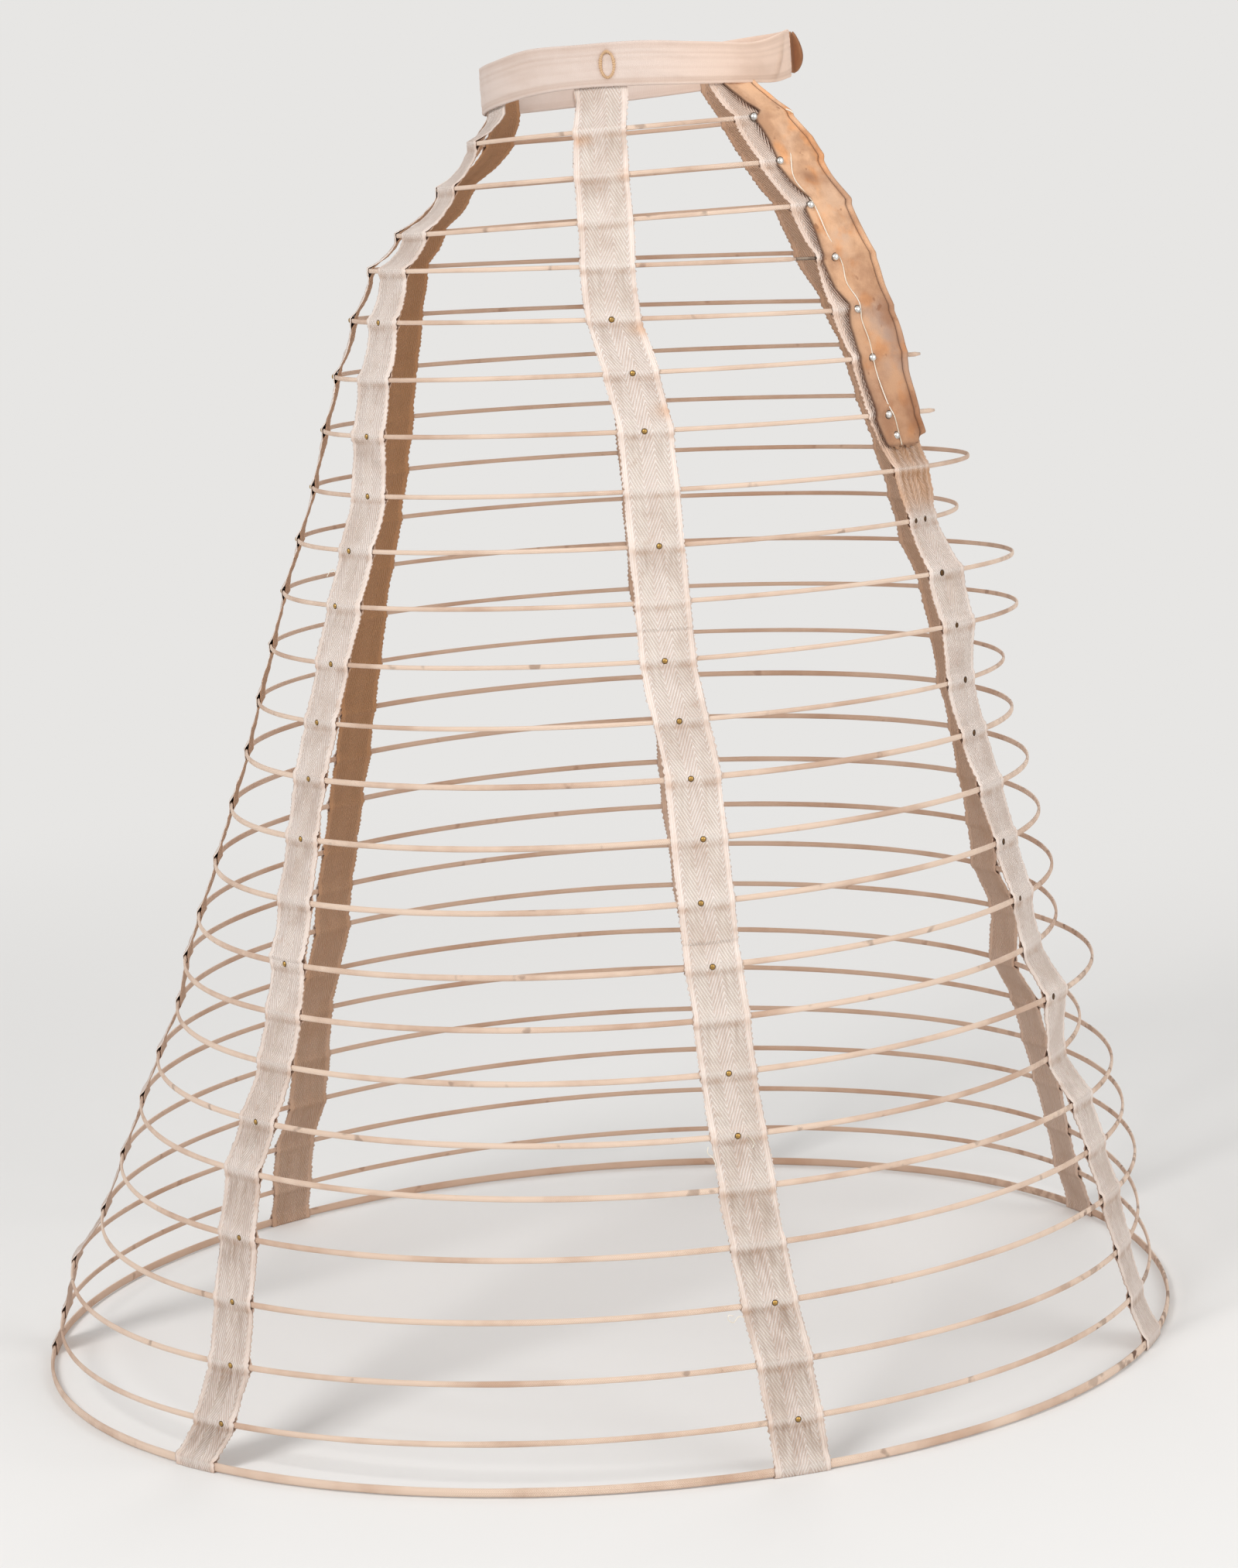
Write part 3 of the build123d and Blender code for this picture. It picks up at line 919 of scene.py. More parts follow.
@dataclass(frozen=True)
class ThreadFinish(Finish):
    """Twisted sewing thread."""

    soil: Colour
    pitch: float = 0.6 * MM

    def surface(self, nodes: Nodes, effects: Effects) -> Surface:
        """Soiled patches over the ground.

        Args:
            nodes: the material's tree.
            effects: the groups that finishes share.

        Returns:
            The shader's values and the twist.
        """
        twist = nodes.group(effects.braid, Flat=nodes.flat(), Pitch=self.pitch)
        patch = nodes.between(nodes.noise(nodes.place(), 60.0), 0.4, 0.7)
        values = {"Base Color": nodes.coats(self.ground, (patch, 0.5, self.soil)), "Roughness": 0.8}
        return Surface(values, twist["Height"], 0.1 * MM)


class Finishes(Enum):
    """Every finish on the object."""

    COVER = BraidFinish("braided cover", "hoop_cover", linear(234, 210, 190), linear(176, 134, 106),
                        linear(84, 50, 32))
    TAPE = TwillFinish("herringbone tape", "tape_twill", linear(244, 233, 225), linear(212, 194, 182),
                       linear(174, 126, 86), linear(216, 166, 126), linear(150, 126, 110))
    BAND = BandFinish("folded twill", "waistband_twill", linear(211, 194, 184), linear(240, 208, 186),
                      linear(168, 134, 110))
    LINING = BandFinish("brown lining", "waistband_lining", linear(186, 138, 104), linear(174, 124, 90),
                        linear(96, 58, 36))
    LEATHER = LeatherFinish("placket leather", "placket_leather", linear(222, 176, 138),
                            linear(190, 166, 150), linear(228, 158, 100), linear(136, 88, 58),
                            linear(62, 34, 22))
    WHITE_METAL = MetalFinish("white metal", "stud_metal", linear(226, 224, 220), linear(84, 70, 58),
                              0.18, 300.0)
    BRASS = MetalFinish("worn brass", "brass_stud", linear(178, 142, 82), linear(70, 52, 30), 0.3, 260.0)
    STEEL = MetalFinish("bare steel", "bare_steel", linear(120, 106, 94), linear(82, 54, 36), 0.42, 120.0)
    # low domes in a near-black metal that stand for empty holes in the opening tape: painted shade
    HOLE_SHADE = MetalFinish("painted hole shade", "brass_stud", linear(96, 70, 44), linear(36, 24, 16), 0.45, 300.0)
    WORKED = ThreadFinish("worked stitches", "waistband_twill", linear(206, 172, 136), linear(160, 118, 84))
    THREAD = ThreadFinish("sewing thread", "tape_twill", linear(244, 236, 222), linear(206, 182, 150))


class Wardrobe:
    """Dresses each piece, with each finish's material built once."""

    def __init__(self) -> None:
        """Starts with no materials and the shared effects."""
        self.effects = Effects()
        self.made: dict[str, bpy.types.Material] = {}

    def material(self, finish: Finishes) -> bpy.types.Material:
        """The finish's material.

        Args:
            finish: which one.

        Returns:
            The same material each time.
        """
        if finish.name not in self.made:
            self.made[finish.name] = finish.value.material(self.effects)
        return self.made[finish.name]

    def make(self, builder: MeshBuilder, name: str, finish: Finishes, *nodes: str) -> Piece:
        """Builds a piece in its finish and reports it.

        Args:
            builder: holds the piece's shells.
            name: of the piece.
            finish: what it is made of.
            nodes: the CAD nodes that it stands for.

        Returns:
            The piece.
        """
        piece = builder.build(name, self.material(finish))
        if nodes:
            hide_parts(*nodes)
        log.info("%s: %d faces", name, len(piece.data.polygons))
        return piece


class TapeGuide:
    """The lines that one tape follows, and how to find a point by its height and its place across.

    There are two keys at each hoop, at the bottom and the top of its pocket, and two at the waistband.
    Between keys the height is linear, and the plan place is f + slack f (1 - f) of the way, so a slack
    tape hangs straight down from the hoop above before it swings out to the one below.
    """

    first = -32 * MM
    step = 2 * MM
    columns = 41
    top_key = 2 * HOOPS - 2
    band_key = 2 * HOOPS
    hips_key = 34
    hips_keys = 6
    least_slack = 0.12
    close_above = 5 * MM
    close_below = 4 * MM

    def __init__(self, cage: Cage, name: str, slack: float) -> None:
        """Reads the keys from the hoops and the waistband.

        Args:
            cage: the shared sizes.
            name: the tape's, without its prefix.
            slack: of the tape above the hips.
        """
        self.cage = cage
        self.name = name
        self.slack = slack
        across = self.first + self.step * np.arange(self.columns)
        keys, outs, levels = [], [], []
        for number in range(HOOPS):
            ring = cage.hoop(number)
            bearings = ring.travel(interpolate(TAPE_BEARINGS[name], ring.height / MM), across)
            half = cage.section(number)[0] / 2 + cage.play
            for rise in (-half, half):
                keys.append(ring.at(bearings) + UP * rise)
                outs.append(ring.outward(bearings))
                levels.append(ring.height + rise)
        band = cage.band()
        bearings = band.travel(interpolate(TAPE_BEARINGS[name], band.height / MM), across)
        out = band.outward(bearings)
        for rise in (-cage.band_tall / 2 - cage.tuck_drop, cage.tuck - cage.band_tall / 2):
            keys.append(band.at(bearings) - out * cage.tuck_inset + UP * rise)
            outs.append(out)
            levels.append(band.height + rise)
        self.keys = np.array(keys)
        self.outs = np.array(outs)
        self.heights = np.array(levels)

    def at(self, level: np.ndarray, across: np.ndarray) -> tuple[np.ndarray, np.ndarray]:
        """Points on the tape's middle surface and its outward directions there.

        Args:
            level: key numbers, with the share of the way to the next as the fraction.
            across: metres anticlockwise from the tape's middle.

        Returns:
            Points and level unit vectors, in the shape that level and across make together.
        """
        level, across = np.broadcast_arrays(level, across)
        row = np.clip(level.astype(int), 0, len(self.keys) - 2)
        share = (level - row)[..., None]
        place = (across - self.first) / self.step
        column = np.clip(place.astype(int), 0, self.columns - 2)
        side = (place - column)[..., None]
        low = self.keys[row, column] * (1 - side) + self.keys[row, column + 1] * side
        high = self.keys[row + 1, column] * (1 - side) + self.keys[row + 1, column + 1] * side
        hips = np.clip((row - self.hips_key) / self.hips_keys, self.least_slack, 1)[..., None]
        swing = share + self.slack * hips * share * (1 - share) * (row % 2 == 1)[..., None]
        points = low + (high - low) * swing
        points[..., 2:] = low[..., 2:] + (high[..., 2:] - low[..., 2:]) * share
        return points, unit(self.outs[row, column] * (1 - share) + self.outs[row + 1, column] * share)

    def level_of(self, height: np.ndarray) -> np.ndarray:
        """Levels at heights in metres, measured as the hoops' heights are."""
        return np.interp(height, self.heights, np.arange(len(self.heights)))

    def height_of(self, level: np.ndarray) -> np.ndarray:
        """Heights of levels in metres."""
        return np.interp(level, np.arange(len(self.heights)), self.heights)

    def apart(self, level: np.ndarray) -> np.ndarray:
        """Half the distance between the tape's layers: wide at a hoop, closed within a few mm of it.

        Args:
            level: key numbers with fractions.

        Returns:
            From the middle surface to a layer's middle, in metres.
        """
        web = self.cage.layer / 2
        row = np.clip(level.astype(int), 0, len(self.keys) - 2)
        share = level - row
        length = np.diff(self.heights)[row]
        hoops = np.minimum(np.arange(len(self.keys) + 1) // 2, HOOPS - 1)
        thick = np.array([self.cage.section(number)[1] for number in hoops])
        wide = thick / 2 + self.cage.play + web
        leaving = (wide[row] - web) * fade(share * length / self.close_above)
        meeting = (wide[row + 1] - web) * fade((1 - share) * length / self.close_below) * (row < self.top_key)
        held = np.where(row % 2 == 0, wide[row], web + leaving + meeting)
        return np.where(row >= self.band_key, web, held)


@dataclass
class WovenTape:
    """One doubled tape: a single strip from the waistband down inside, round the hem hoop and back up.

    The tucks are heights, and the spots are (height, across, size) rows, in millimetres. A stained tape
    is tinted above that height, and gathered there.
    """

    guide: TapeGuide
    seed: int
    width: float = 38 * MM
    cloth: float = 0.55 * MM
    spacing: float = 1.1 * MM
    pocket_rows: int = 4
    columns: int = 6
    picot: float = 1.9 * MM
    picot_pitch: float = 3.7 * MM
    inner_browning_and_shade: float = 0.7
    darkened: float = 1.0
    tucks: tuple[float, ...] = ()
    spots: Rows = ()
    stained: float | None = None
    pleat: float = 17 * MM
    pleat_lift: float = 1.5 * MM
    gather: float = 5.5 * MM
    gather_lines: tuple[float, ...] = (-12, -6, -1.5, 4, 11)
    sway: Wave = Wave((0.23, 0.091, 0.057), 0.9 * MM)
    spread: Wave = Wave((0.11, 0.047, 0.031), 0.022, 1.0)
    drift: Wave = Wave((0.05, 0.021), 0.5)
    tooth: Wave = Wave((0.071, 0.011, 0.029), 0.3, 0.7)
    wrinkles: Wave = Wave((0.013, 0.0085, 0.021), aside=0.25)
    swell: Wave = Wave((0.09, 0.037), aside=-0.8)
    uneven: Wave = Wave((0.013, 0.027), 0.5, 0.5, along=0.3, aside=1.0)
    patchy: Wave = Wave((0.137, 0.061), 0.5, 0.5)

    def levels(self) -> np.ndarray:
        """Where the rows lie: a few to a pocket, and one for each spacing between pockets.

        Returns:
            Key numbers with fractions, from the hem up.
        """
        lengths = np.diff(self.guide.heights)
        webs = np.ceil(lengths / self.spacing)
        counts = np.where(np.arange(len(lengths)) % 2 == 0, self.pocket_rows, webs).astype(int)
        rows = [key + np.arange(count) / count for key, count in enumerate(counts)]
        return np.concatenate([*rows, [float(len(lengths))]])

    def strip(self) -> tuple[np.ndarray, np.ndarray, Marks]:
        """The strip's middle surface.

        Each layer is the guide's surface plus or minus the layers' distance, with shared rumples: a
        sideways sway, a width that varies, picots on both edges and soft cross wrinkles.

        Returns:
            Points, the flat pattern's places, and the marks of both layers and the turn between them.
        """
        level = self.levels()
        share = np.concatenate([[-1, -0.95], np.linspace(-0.8, 0.8, self.columns), [0.95, 1]])
        run = distances(self.guide.at(level, np.zeros_like(level))[0])
        half = (self.width / 2 - self.picot / 2) * self.spread.at(self.seed + 1, run)
        across = self.sway.at(self.seed, run)[:, None] + share * half[:, None]
        across[:, 0] -= self._picots(run, self.seed + 2)
        across[:, -1] += self._picots(run, self.seed + 3)
        points, out = self.guide.at(level[:, None], across)
        apart = self.guide.apart(level)
        near_hoop = np.clip((apart / apart.max()) * 1.2, 0, 1)
        rumple = self._rumple(run, across) * (1 - 0.85 * near_hoop)[:, None]
        outer = points + out * (apart[:, None] + rumple + self._tucked(level))[..., None]
        inner = points - out * (apart[:, None] - rumple)[..., None]
        wrap = self._wrap(points[0], out[0], apart[0])
        surface = np.concatenate([inner[::-1], wrap, outer])
        runs = np.concatenate([-run[::-1], np.zeros(len(wrap)), run])[:, None]
        wide = np.concatenate([across[::-1], np.repeat(across[:1], len(wrap), axis=0), across])
        # The inside mark darkens the inner layer: partly painted shade, partly brown with age.
        inside = np.concatenate([np.ones(len(run)), np.linspace(1, 0, len(wrap)), np.zeros(len(run))])
        inside = inside[:, None] * self.inner_browning_and_shade * (1 - 0.35 * fade(np.abs(runs) / 0.5))
        marks = {"inside": np.broadcast_to(inside, surface.shape[:2])}
        blank = np.zeros_like(wrap[..., 0])
        for name, (mark, inner_share) in self._marks(level, run, across, apart).items():
            turn = blank + mark[:1].mean() if name == "grime" else blank
            marks[name] = np.concatenate([inner_share * mark[::-1], turn, mark])
        return surface, pattern(wide, runs), marks

    def _marks(self, level: np.ndarray, run: np.ndarray, across: np.ndarray,
               apart: np.ndarray) -> dict[str, tuple[np.ndarray, float]]:
        """Where the outer layer takes painted shade, stains, darkening and a painted highlight.

        Painted shade falls in a crease under each hoop, unevenly across, and along the gathers. Stains lie at
        the corners of the pockets and at the spots. A painted highlight lies on the ridge over each hoop.

        Args:
            level: the rows' places in keys.
            run: metres along the tape.
            across: metres from its middle.
            apart: half the distance between the layers.

        Returns:
            Each mark from 0 to 1 by its name, with its share on the inner layer.
        """
        height = self.guide.height_of(level)[:, None]
        uneven = self.uneven.at(self.seed + 8, run[:, None], across)
        # painted shade in a crease under each hoop's pocket
        crease = 0.45 * np.clip(3 * np.gradient(apart, run), 0, 1)[:, None] * uneven
        pocket = np.clip(apart / apart.max() * 1.3 - 0.4, 0, 1)[:, None]
        corner = bell(np.abs(across) - 0.44 * self.width, 3 * MM) + 0.4 * uneven
        stain = 0.45 * pocket * corner * self.patchy.at(self.seed + 9, run)[:, None]
        for place, side, size in self.spots:
            spot = np.hypot(height - place * MM, 0.6 * (across - side * MM))
            stain = np.maximum(stain, 0.8 * bell(spot, size * MM))
        # grey-brown darkening under the hoops and towards the hem
        grime = self._darkening(height, across, uneven)
        if self.stained is not None:
            above = height - self.stained
            tint = 1 - fade((above + 12 * MM) / (24 * MM))
            tint = tint * (0.45 + 0.55 * fade((height - 0.62) / 0.05))
            # gather lines: painted fold shade, added to both the crease and the darkening marks
            lines = sum(bell(across - (place * MM + 0.05 * above), 1.3 * MM) for place in self.gather_lines)
            lines = bell(above - 42 * MM, 42 * MM) * lines
            stain = np.maximum(stain, tint * (0.7 + 0.3 * uneven))
            grime = grime + 0.75 * tint * lines
            crease = crease + lines + tint * bell(across - 17.2 * MM, 1.1 * MM)
        # painted highlight on the ridge over each hoop
        ridge = np.broadcast_to(bell(level % 2 - 0.7, 0.35)[:, None], across.shape)
        ridge = ridge * (level < self.guide.top_key + 1)[:, None]
        return {"crease": (np.clip(crease, 0, 1), 0.4), "stain": (np.clip(stain, 0, 1), 0.5),
                "grime": (np.clip(grime, 0, 1), 0.5), "ridge": (ridge, 0.0)}

    def _darkening(self, height: np.ndarray, across: np.ndarray, uneven: np.ndarray) -> np.ndarray:
        """Grey-brown darkening just below each hoop, by a random share, and towards the hem.

        Args:
            height: metres up.
            across: metres from the tape's middle.
            uneven: a wave from 0 to 1.

        Returns:
            The darkening for each point.
        """
        bottoms = self.guide.heights[::2]
        number = np.clip(np.searchsorted(bottoms, height[:, 0]), 0, len(bottoms) - 1)
        drop = (bottoms[number] - height[:, 0])[:, None]
        amount = np.random.default_rng(self.seed + 10).uniform(0.15, 0.75, len(bottoms))[number][:, None]
        patch = np.clip(1.15 - (np.abs(across) / (0.5 * self.width)) ** 3, 0, 1) * (0.6 + 0.4 * uneven)
        grime = amount * bell(drop - 6 * MM, 9 * MM) * patch * (0.55 + 0.45 * fade(height / 0.5))
        return self.darkened * (grime + 0.32 * fade(height / 0.35))

    def _picots(self, run: np.ndarray, seed: int) -> np.ndarray:
        """Uneven teeth along an edge: 1 - |2 f - 1| over the share f of each pitch, drifting in size."""
        share = (run / self.picot_pitch + self.drift.at(seed, run)) % 1
        return self.picot * self.tooth.at(seed + 7, run) * (1 - np.abs(2 * share - 1))

    def _rumple(self, run: np.ndarray, across: np.ndarray) -> np.ndarray:
        """Cross wrinkles that fade in and out along the tape, and lengthwise folds where it is gathered.

        Args:
            run: metres along the tape.
            across: metres from its middle.

        Returns:
            How far each point stands out.
        """
        run = run[:, None]
        swell = self.swell.at(self.seed + 5, run, across)
        wrinkle = 0.6 * MM * self.wrinkles.at(self.seed + 4, run, across) * (0.7 + 0.6 * swell)
        rumple = wrinkle + 0.7 * MM * swell
        if self.stained is not None:
            window = bell(run - self.stained - 60 * MM, 50 * MM)
            rumple = rumple + 0.9 * MM * window * np.sin(TURN * (across / self.gather + run / 0.11))
        return rumple

    def _tucked(self, level: np.ndarray) -> np.ndarray:
        """A pleat in the outer layer under each tuck: it rises downwards as share to the power 0.7 and drops.

        Args:
            level: the rows' places in keys.

        Returns:
            How far each row stands out.
        """
        height = self.guide.height_of(level)
        lift = np.zeros(len(level))
        for tuck in self.tucks:
            below = (tuck * MM - height) / self.pleat
            inside = (below > 0) & (below < 1)
            lift += self.pleat_lift * np.where(inside, np.abs(below) ** 0.7, 0)
        return lift[:, None]

    def _wrap(self, low: np.ndarray, out: np.ndarray, apart: float) -> np.ndarray:
        """The turn under the hem hoop: out = -apart cos a, down = depth sin a, both squared off.

        Args:
            low: the lowest row of the middle surface.
            out: its outward directions.
            apart: half the distance between the layers there.

        Returns:
            The rows between the inner layer and the outer.
        """
        angle = np.linspace(0, np.pi, 9)[1:-1, None, None]
        side = -apart * blunt(np.cos(angle), 0.6)
        down = (self.guide.cage.layer - self.cloth / 2) * blunt(np.sin(angle), 0.6)
        return low + out * side - UP * down

    def make(self, wardrobe: Wardrobe) -> Piece:
        """Builds the tape.

        Args:
            wardrobe: dresses it.

        Returns:
            The tape.
        """
        surface, flat, marks = self.strip()
        builder = MeshBuilder()
        sheet_shell(builder, surface, flat, self.cloth, marks)
        node = f"tape_{self.guide.name}"
        piece = wardrobe.make(builder, f"woven_{node}", Finishes.TAPE, node)
        return piece


@dataclass
class CoveredHoop:
    """A flat steel in a braided cover: a rounded oblong carried round the hoop's line."""

    number: int
    cage: Cage
    step: float = 4 * MM
    sides: int = 12
    squareness: float = 0.7
    tip: float = 0.55
    swell: float = 0.05
    swell_lengths: tuple[float, ...] = (0.19, 0.083, 0.047)
    far_end: float = 14 * MM
    near_end: float = 28 * MM
    stub_end: float = 42 * MM
    bare_start: float = -33 * MM
    bare_rows: int = 24
    bare_side: tuple[float, ...] = (-0.3, -0.2, 0.2, 0.3, 0.3, 0.2, -0.2, -0.3)
    bare_rise: tuple[float, ...] = (-0.9, -1.1, -1.1, -0.9, 0.9, 1.1, 1.1, 0.9)

    def bearings(self) -> tuple[float, float]:
        """Where the hoop starts and ends.

        Returns:
            Two bearings in degrees, a whole turn apart on a closed hoop.
        """
        if self.number < CLOSED_HOOPS:
            return 0.0, 360.0
        ring = self.cage.hoop(self.number)
        height = ring.height / MM
        far, near = (interpolate(TAPE_BEARINGS[f"opening_{side}"], height) for side in ("far", "near"))
        end = self.stub_end if self.number in STUB_HOOPS else self.near_end
        if self.number == BARE_HOOP:
            end = self.bare_start
        return float(ring.travel(far, -self.far_end)), float(ring.travel(near, end))

    def make(self, wardrobe: Wardrobe) -> Piece:
        """Builds the hoop.

        A point of the section at angle a is half the thickness times |cos a| to the power 0.7 outwards
        and half the height times |sin a| to the power 0.7 upwards, each with its sign. The section
        swells a little along the hoop, in waves that fit it whole.

        Args:
            wardrobe: dresses it.

        Returns:
            The hoop.
        """
        ring = self.cage.hoop(self.number)
        tall, thick = self.cage.section(self.number)
        start, end = self.bearings()
        closed = self.number < CLOSED_HOOPS
        length = float(distances(ring.at(np.linspace(start, end, 400)))[-1])
        count = int(length / self.step)
        bearing = np.linspace(start, end, count, endpoint=not closed)
        run = np.linspace(0, length, count, endpoint=not closed)
        whole = length / np.round(length / np.array(self.swell_lengths))
        size = Wave(tuple(whole), self.swell, 1.0).at(FIRST_HOOP_SEED + self.number, run)
        if not closed:
            size[[0, -1]] *= self.tip
        angle = np.linspace(0, TURN, self.sides, endpoint=False)
        side = blunt(np.cos(angle), self.squareness) * thick / 2
        rise = blunt(np.sin(angle), self.squareness) * tall / 2
        section = ring.outward(bearing)[:, None] * side[:, None] + UP * rise[:, None]
        points = ring.at(bearing)[:, None] + section * size[:, None, None]
        runs = np.append(run, length) if closed else run
        around = np.linspace(0, TURN, self.sides + 1) * (tall + thick) / 4
        # the inside mark is painted shade on the hoop's inner side
        inside = np.broadcast_to((np.cos(angle) < 0).astype(float), points.shape[:2])
        builder = MeshBuilder()
        builder.tube(points, pattern(runs[:, None], around), closed, {"inside": inside})
        name = f"hoop_{self.number + 1:02d}"
        return wardrobe.make(builder, f"covered_{name}", Finishes.COVER, name)

    def make_bare_steel(self, wardrobe: Wardrobe) -> Piece:
        """Builds the worn hoop's steel, from the end of its cover to under the placket.

        Args:
            wardrobe: dresses it.

        Returns:
            The steel.
        """
        ring = self.cage.hoop(self.number)
        near = interpolate(TAPE_BEARINGS["opening_near"], ring.height / MM)
        places = np.linspace(self.bare_start - 1 * MM, self.near_end, self.bare_rows)
        bearing = ring.travel(near, places)
        side, rise = np.array(self.bare_side)[:, None] * MM, np.array(self.bare_rise)[:, None] * MM
        points = ring.at(bearing)[:, None] + ring.outward(bearing)[:, None] * side + UP * rise
        run, around = np.linspace(0, 60 * MM, self.bare_rows), np.linspace(0, 6 * MM, len(side) + 1)
        builder = MeshBuilder()
        builder.tube(points, pattern(run[:, None], around))
        return wardrobe.make(builder, "worn_steel_end", Finishes.STEEL, "hoop_22_bare_steel")


@dataclass
class Waistband:
    """The folded band, its worked buttonhole and its turned inner end."""

    cage: Cage
    split: float = 3 * MM
    hole_bearing: float = 254.8
    hole_shift: float = 8 * MM
    hole_tall: float = 17.2 * MM
    hole_wide: float = 9.4 * MM
    rows: int = 460
    folds: tuple[float, ...] = (2.6, 4.6, 12.5, 19.5, 23.5, 27.5, 29.6)
    fold_depths: tuple[float, ...] = (0.4, 0.35, 0.1, 0.16, 0.2, 0.22, 0.3)
    fold_wide: float = 0.9 * MM
    crumple: Wave = Wave((0.011, 0.017, 0.029), 0.35 * MM, along=0.25, aside=1.4)
    crumpled: Wave = Wave((0.13, 0.06), 0.5, 0.5)
    wavy: Wave = Wave((0.21, 0.12, 0.07), 0.5 * MM)
    pinch_bearing: float = 334
    seam_bearing: float = 184
    stain_bearing: float = 322
    leaf_wide: float = 15 * MM
    leaf_tall: float = 27 * MM
    top: Pairs = ((0, 16), (60, 17), (120, 15.5), (185, 16.9), (206, 19.1), (225, 22.7), (234, 22.8),
                  (246, 21.3), (260, 19.5), (275, 17.2), (289, 13.7), (302, 10.8), (315, 8.4), (326, 10),
                  (336, 12.6), (349, 16), (360, 16.5))
    bottom: Pairs = ((0, -16), (180, -16), (206, -11.9), (220, -9.6), (231, -8.2), (245, -7.8), (259, -9.5),
                     (272, -11.9), (285, -14.3), (301, -16.9), (330, -20.2), (349, -17), (360, -16))

    def make(self, wardrobe: Wardrobe) -> list[Piece]:
        """Builds the band, the buttonhole's stitches and the turned end."""
        return [self._band(wardrobe), self._stitches(wardrobe), self._turned_end(wardrobe)]

    def _rows(self) -> tuple[np.ndarray, np.ndarray]:
        """The band's rows, from one side of the split to the other.

        Returns:
            Their bearings and their distances along the band.
        """
        ring = self.cage.band()
        start, end = float(ring.travel(0, self.split)), float(ring.travel(360, -self.split))
        bearing = np.linspace(start, end, self.rows)
        return bearing, distances(ring.at(bearing))

    @staticmethod
    def _edge(pairs: Pairs, bearing: np.ndarray) -> np.ndarray:
        """An edge's height over the band's middle line, smoothed over 12 degrees.

        Args:
            pairs: the edge's bearings with its heights in millimetres.
            bearing: where it is wanted.

        Returns:
            Heights in metres.
        """
        bearings, lifts = zip(*pairs)
        near = np.linspace(-6, 6, 13)
        return np.interp(bearing[..., None] + near, bearings, lifts).mean(axis=-1) * MM

    def hole(self) -> float:
        """The buttonhole's bearing."""
        return float(self.cage.band().travel(self.hole_bearing, self.hole_shift))

    def _band(self, wardrobe: Wardrobe) -> Piece:
        """The band: a flat loop of cloth whose section has a bottom roll and shallow lengthwise folds.

        The outer face stands out by half the thickness, less a groove exp(-((h - fold) / 0.9 mm)^2) at
        each fold, plus a soft crumple, a slanting pinch and a seam. Round the buttonhole both faces
        sink towards each other.

        Args:
            wardrobe: dresses it.

        Returns:
            The band.
        """
        ring = self.cage.band()
        bearing, run = self._rows()
        height = np.concatenate([[0, 0.6], np.arange(1.6, 31, 1.15), [31.4, 32.0]]) * MM
        flatness = np.ones(len(height))
        flatness[[0, -1]] = 0.25
        flatness[[1, -2]] = 0.75
        grooves = bell(height[:, None] - np.array(self.folds) * MM, self.fold_wide)
        groove = (grooves * np.array(self.fold_depths) * MM).sum(axis=1)
        crumple = self.crumple.at(70, run[:, None], height) * self.crumpled.at(71, run)[:, None]
        slant = bearing[:, None] - self.pinch_bearing - (height - 12 * MM) * 400
        pinch = bell(slant, 2.2) * bell(height - 14 * MM, 12 * MM)
        seam = 0.7 * MM * bell(bearing - self.seam_bearing, 1.6)[:, None]
        half = self.cage.band_thick / 2
        outer = half * flatness + crumple - groove + 1.6 * MM * pinch + seam
        inner = -half * flatness + 0.3 * crumple
        along = np.radians(bearing - self.hole())[:, None] * ring.half_depth
        above = height - self.cage.band_tall / 2
        gap = np.hypot(along / (self.hole_wide / 2), above / (self.hole_tall / 2))
        sunk = 1 - 0.92 * np.clip((1.25 - gap) / 0.5, 0, 1)
        low, high = self._edge(self.bottom, bearing)[:, None], self._edge(self.top, bearing)[:, None]
        wave = self.wavy.at(72, run)[:, None] * (height / height[-1])
        lift = low + (high - low) * height / height[-1] + wave
        centre, out = ring.at(bearing)[:, None], ring.outward(bearing)[:, None]
        front = centre + out * (outer * sunk)[..., None] + UP * lift[..., None]
        back = centre + out * (inner * sunk)[..., None] + UP * lift[..., None]
        points = np.concatenate([front, back[:, ::-1]], axis=1)
        tall = np.concatenate([height, height[::-1], height[:1]])
        flat = pattern(run[:, None], tall)
        # the crease mark: painted shade in the folds, round the buttonhole and in the pinch, with the stain
        # added
        line = np.clip(groove / (0.5 * MM), 0, 1) + np.zeros_like(gap)
        stain = bell(bearing[:, None] - self.stain_bearing, 13) * bell(height - 9 * MM, 5 * MM)
        crease = np.clip(line * 0.8 + 0.7 * bell(gap - 1.15, 0.2) + 0.7 * pinch + 0.4 * stain, 0, 1)
        builder = MeshBuilder()
        builder.tube(points, flat, marks={"crease": np.concatenate([crease, 0.5 * crease[:, ::-1]], axis=1)})
        piece = wardrobe.make(builder, "folded_waistband", Finishes.BAND, "waistband")
        return piece

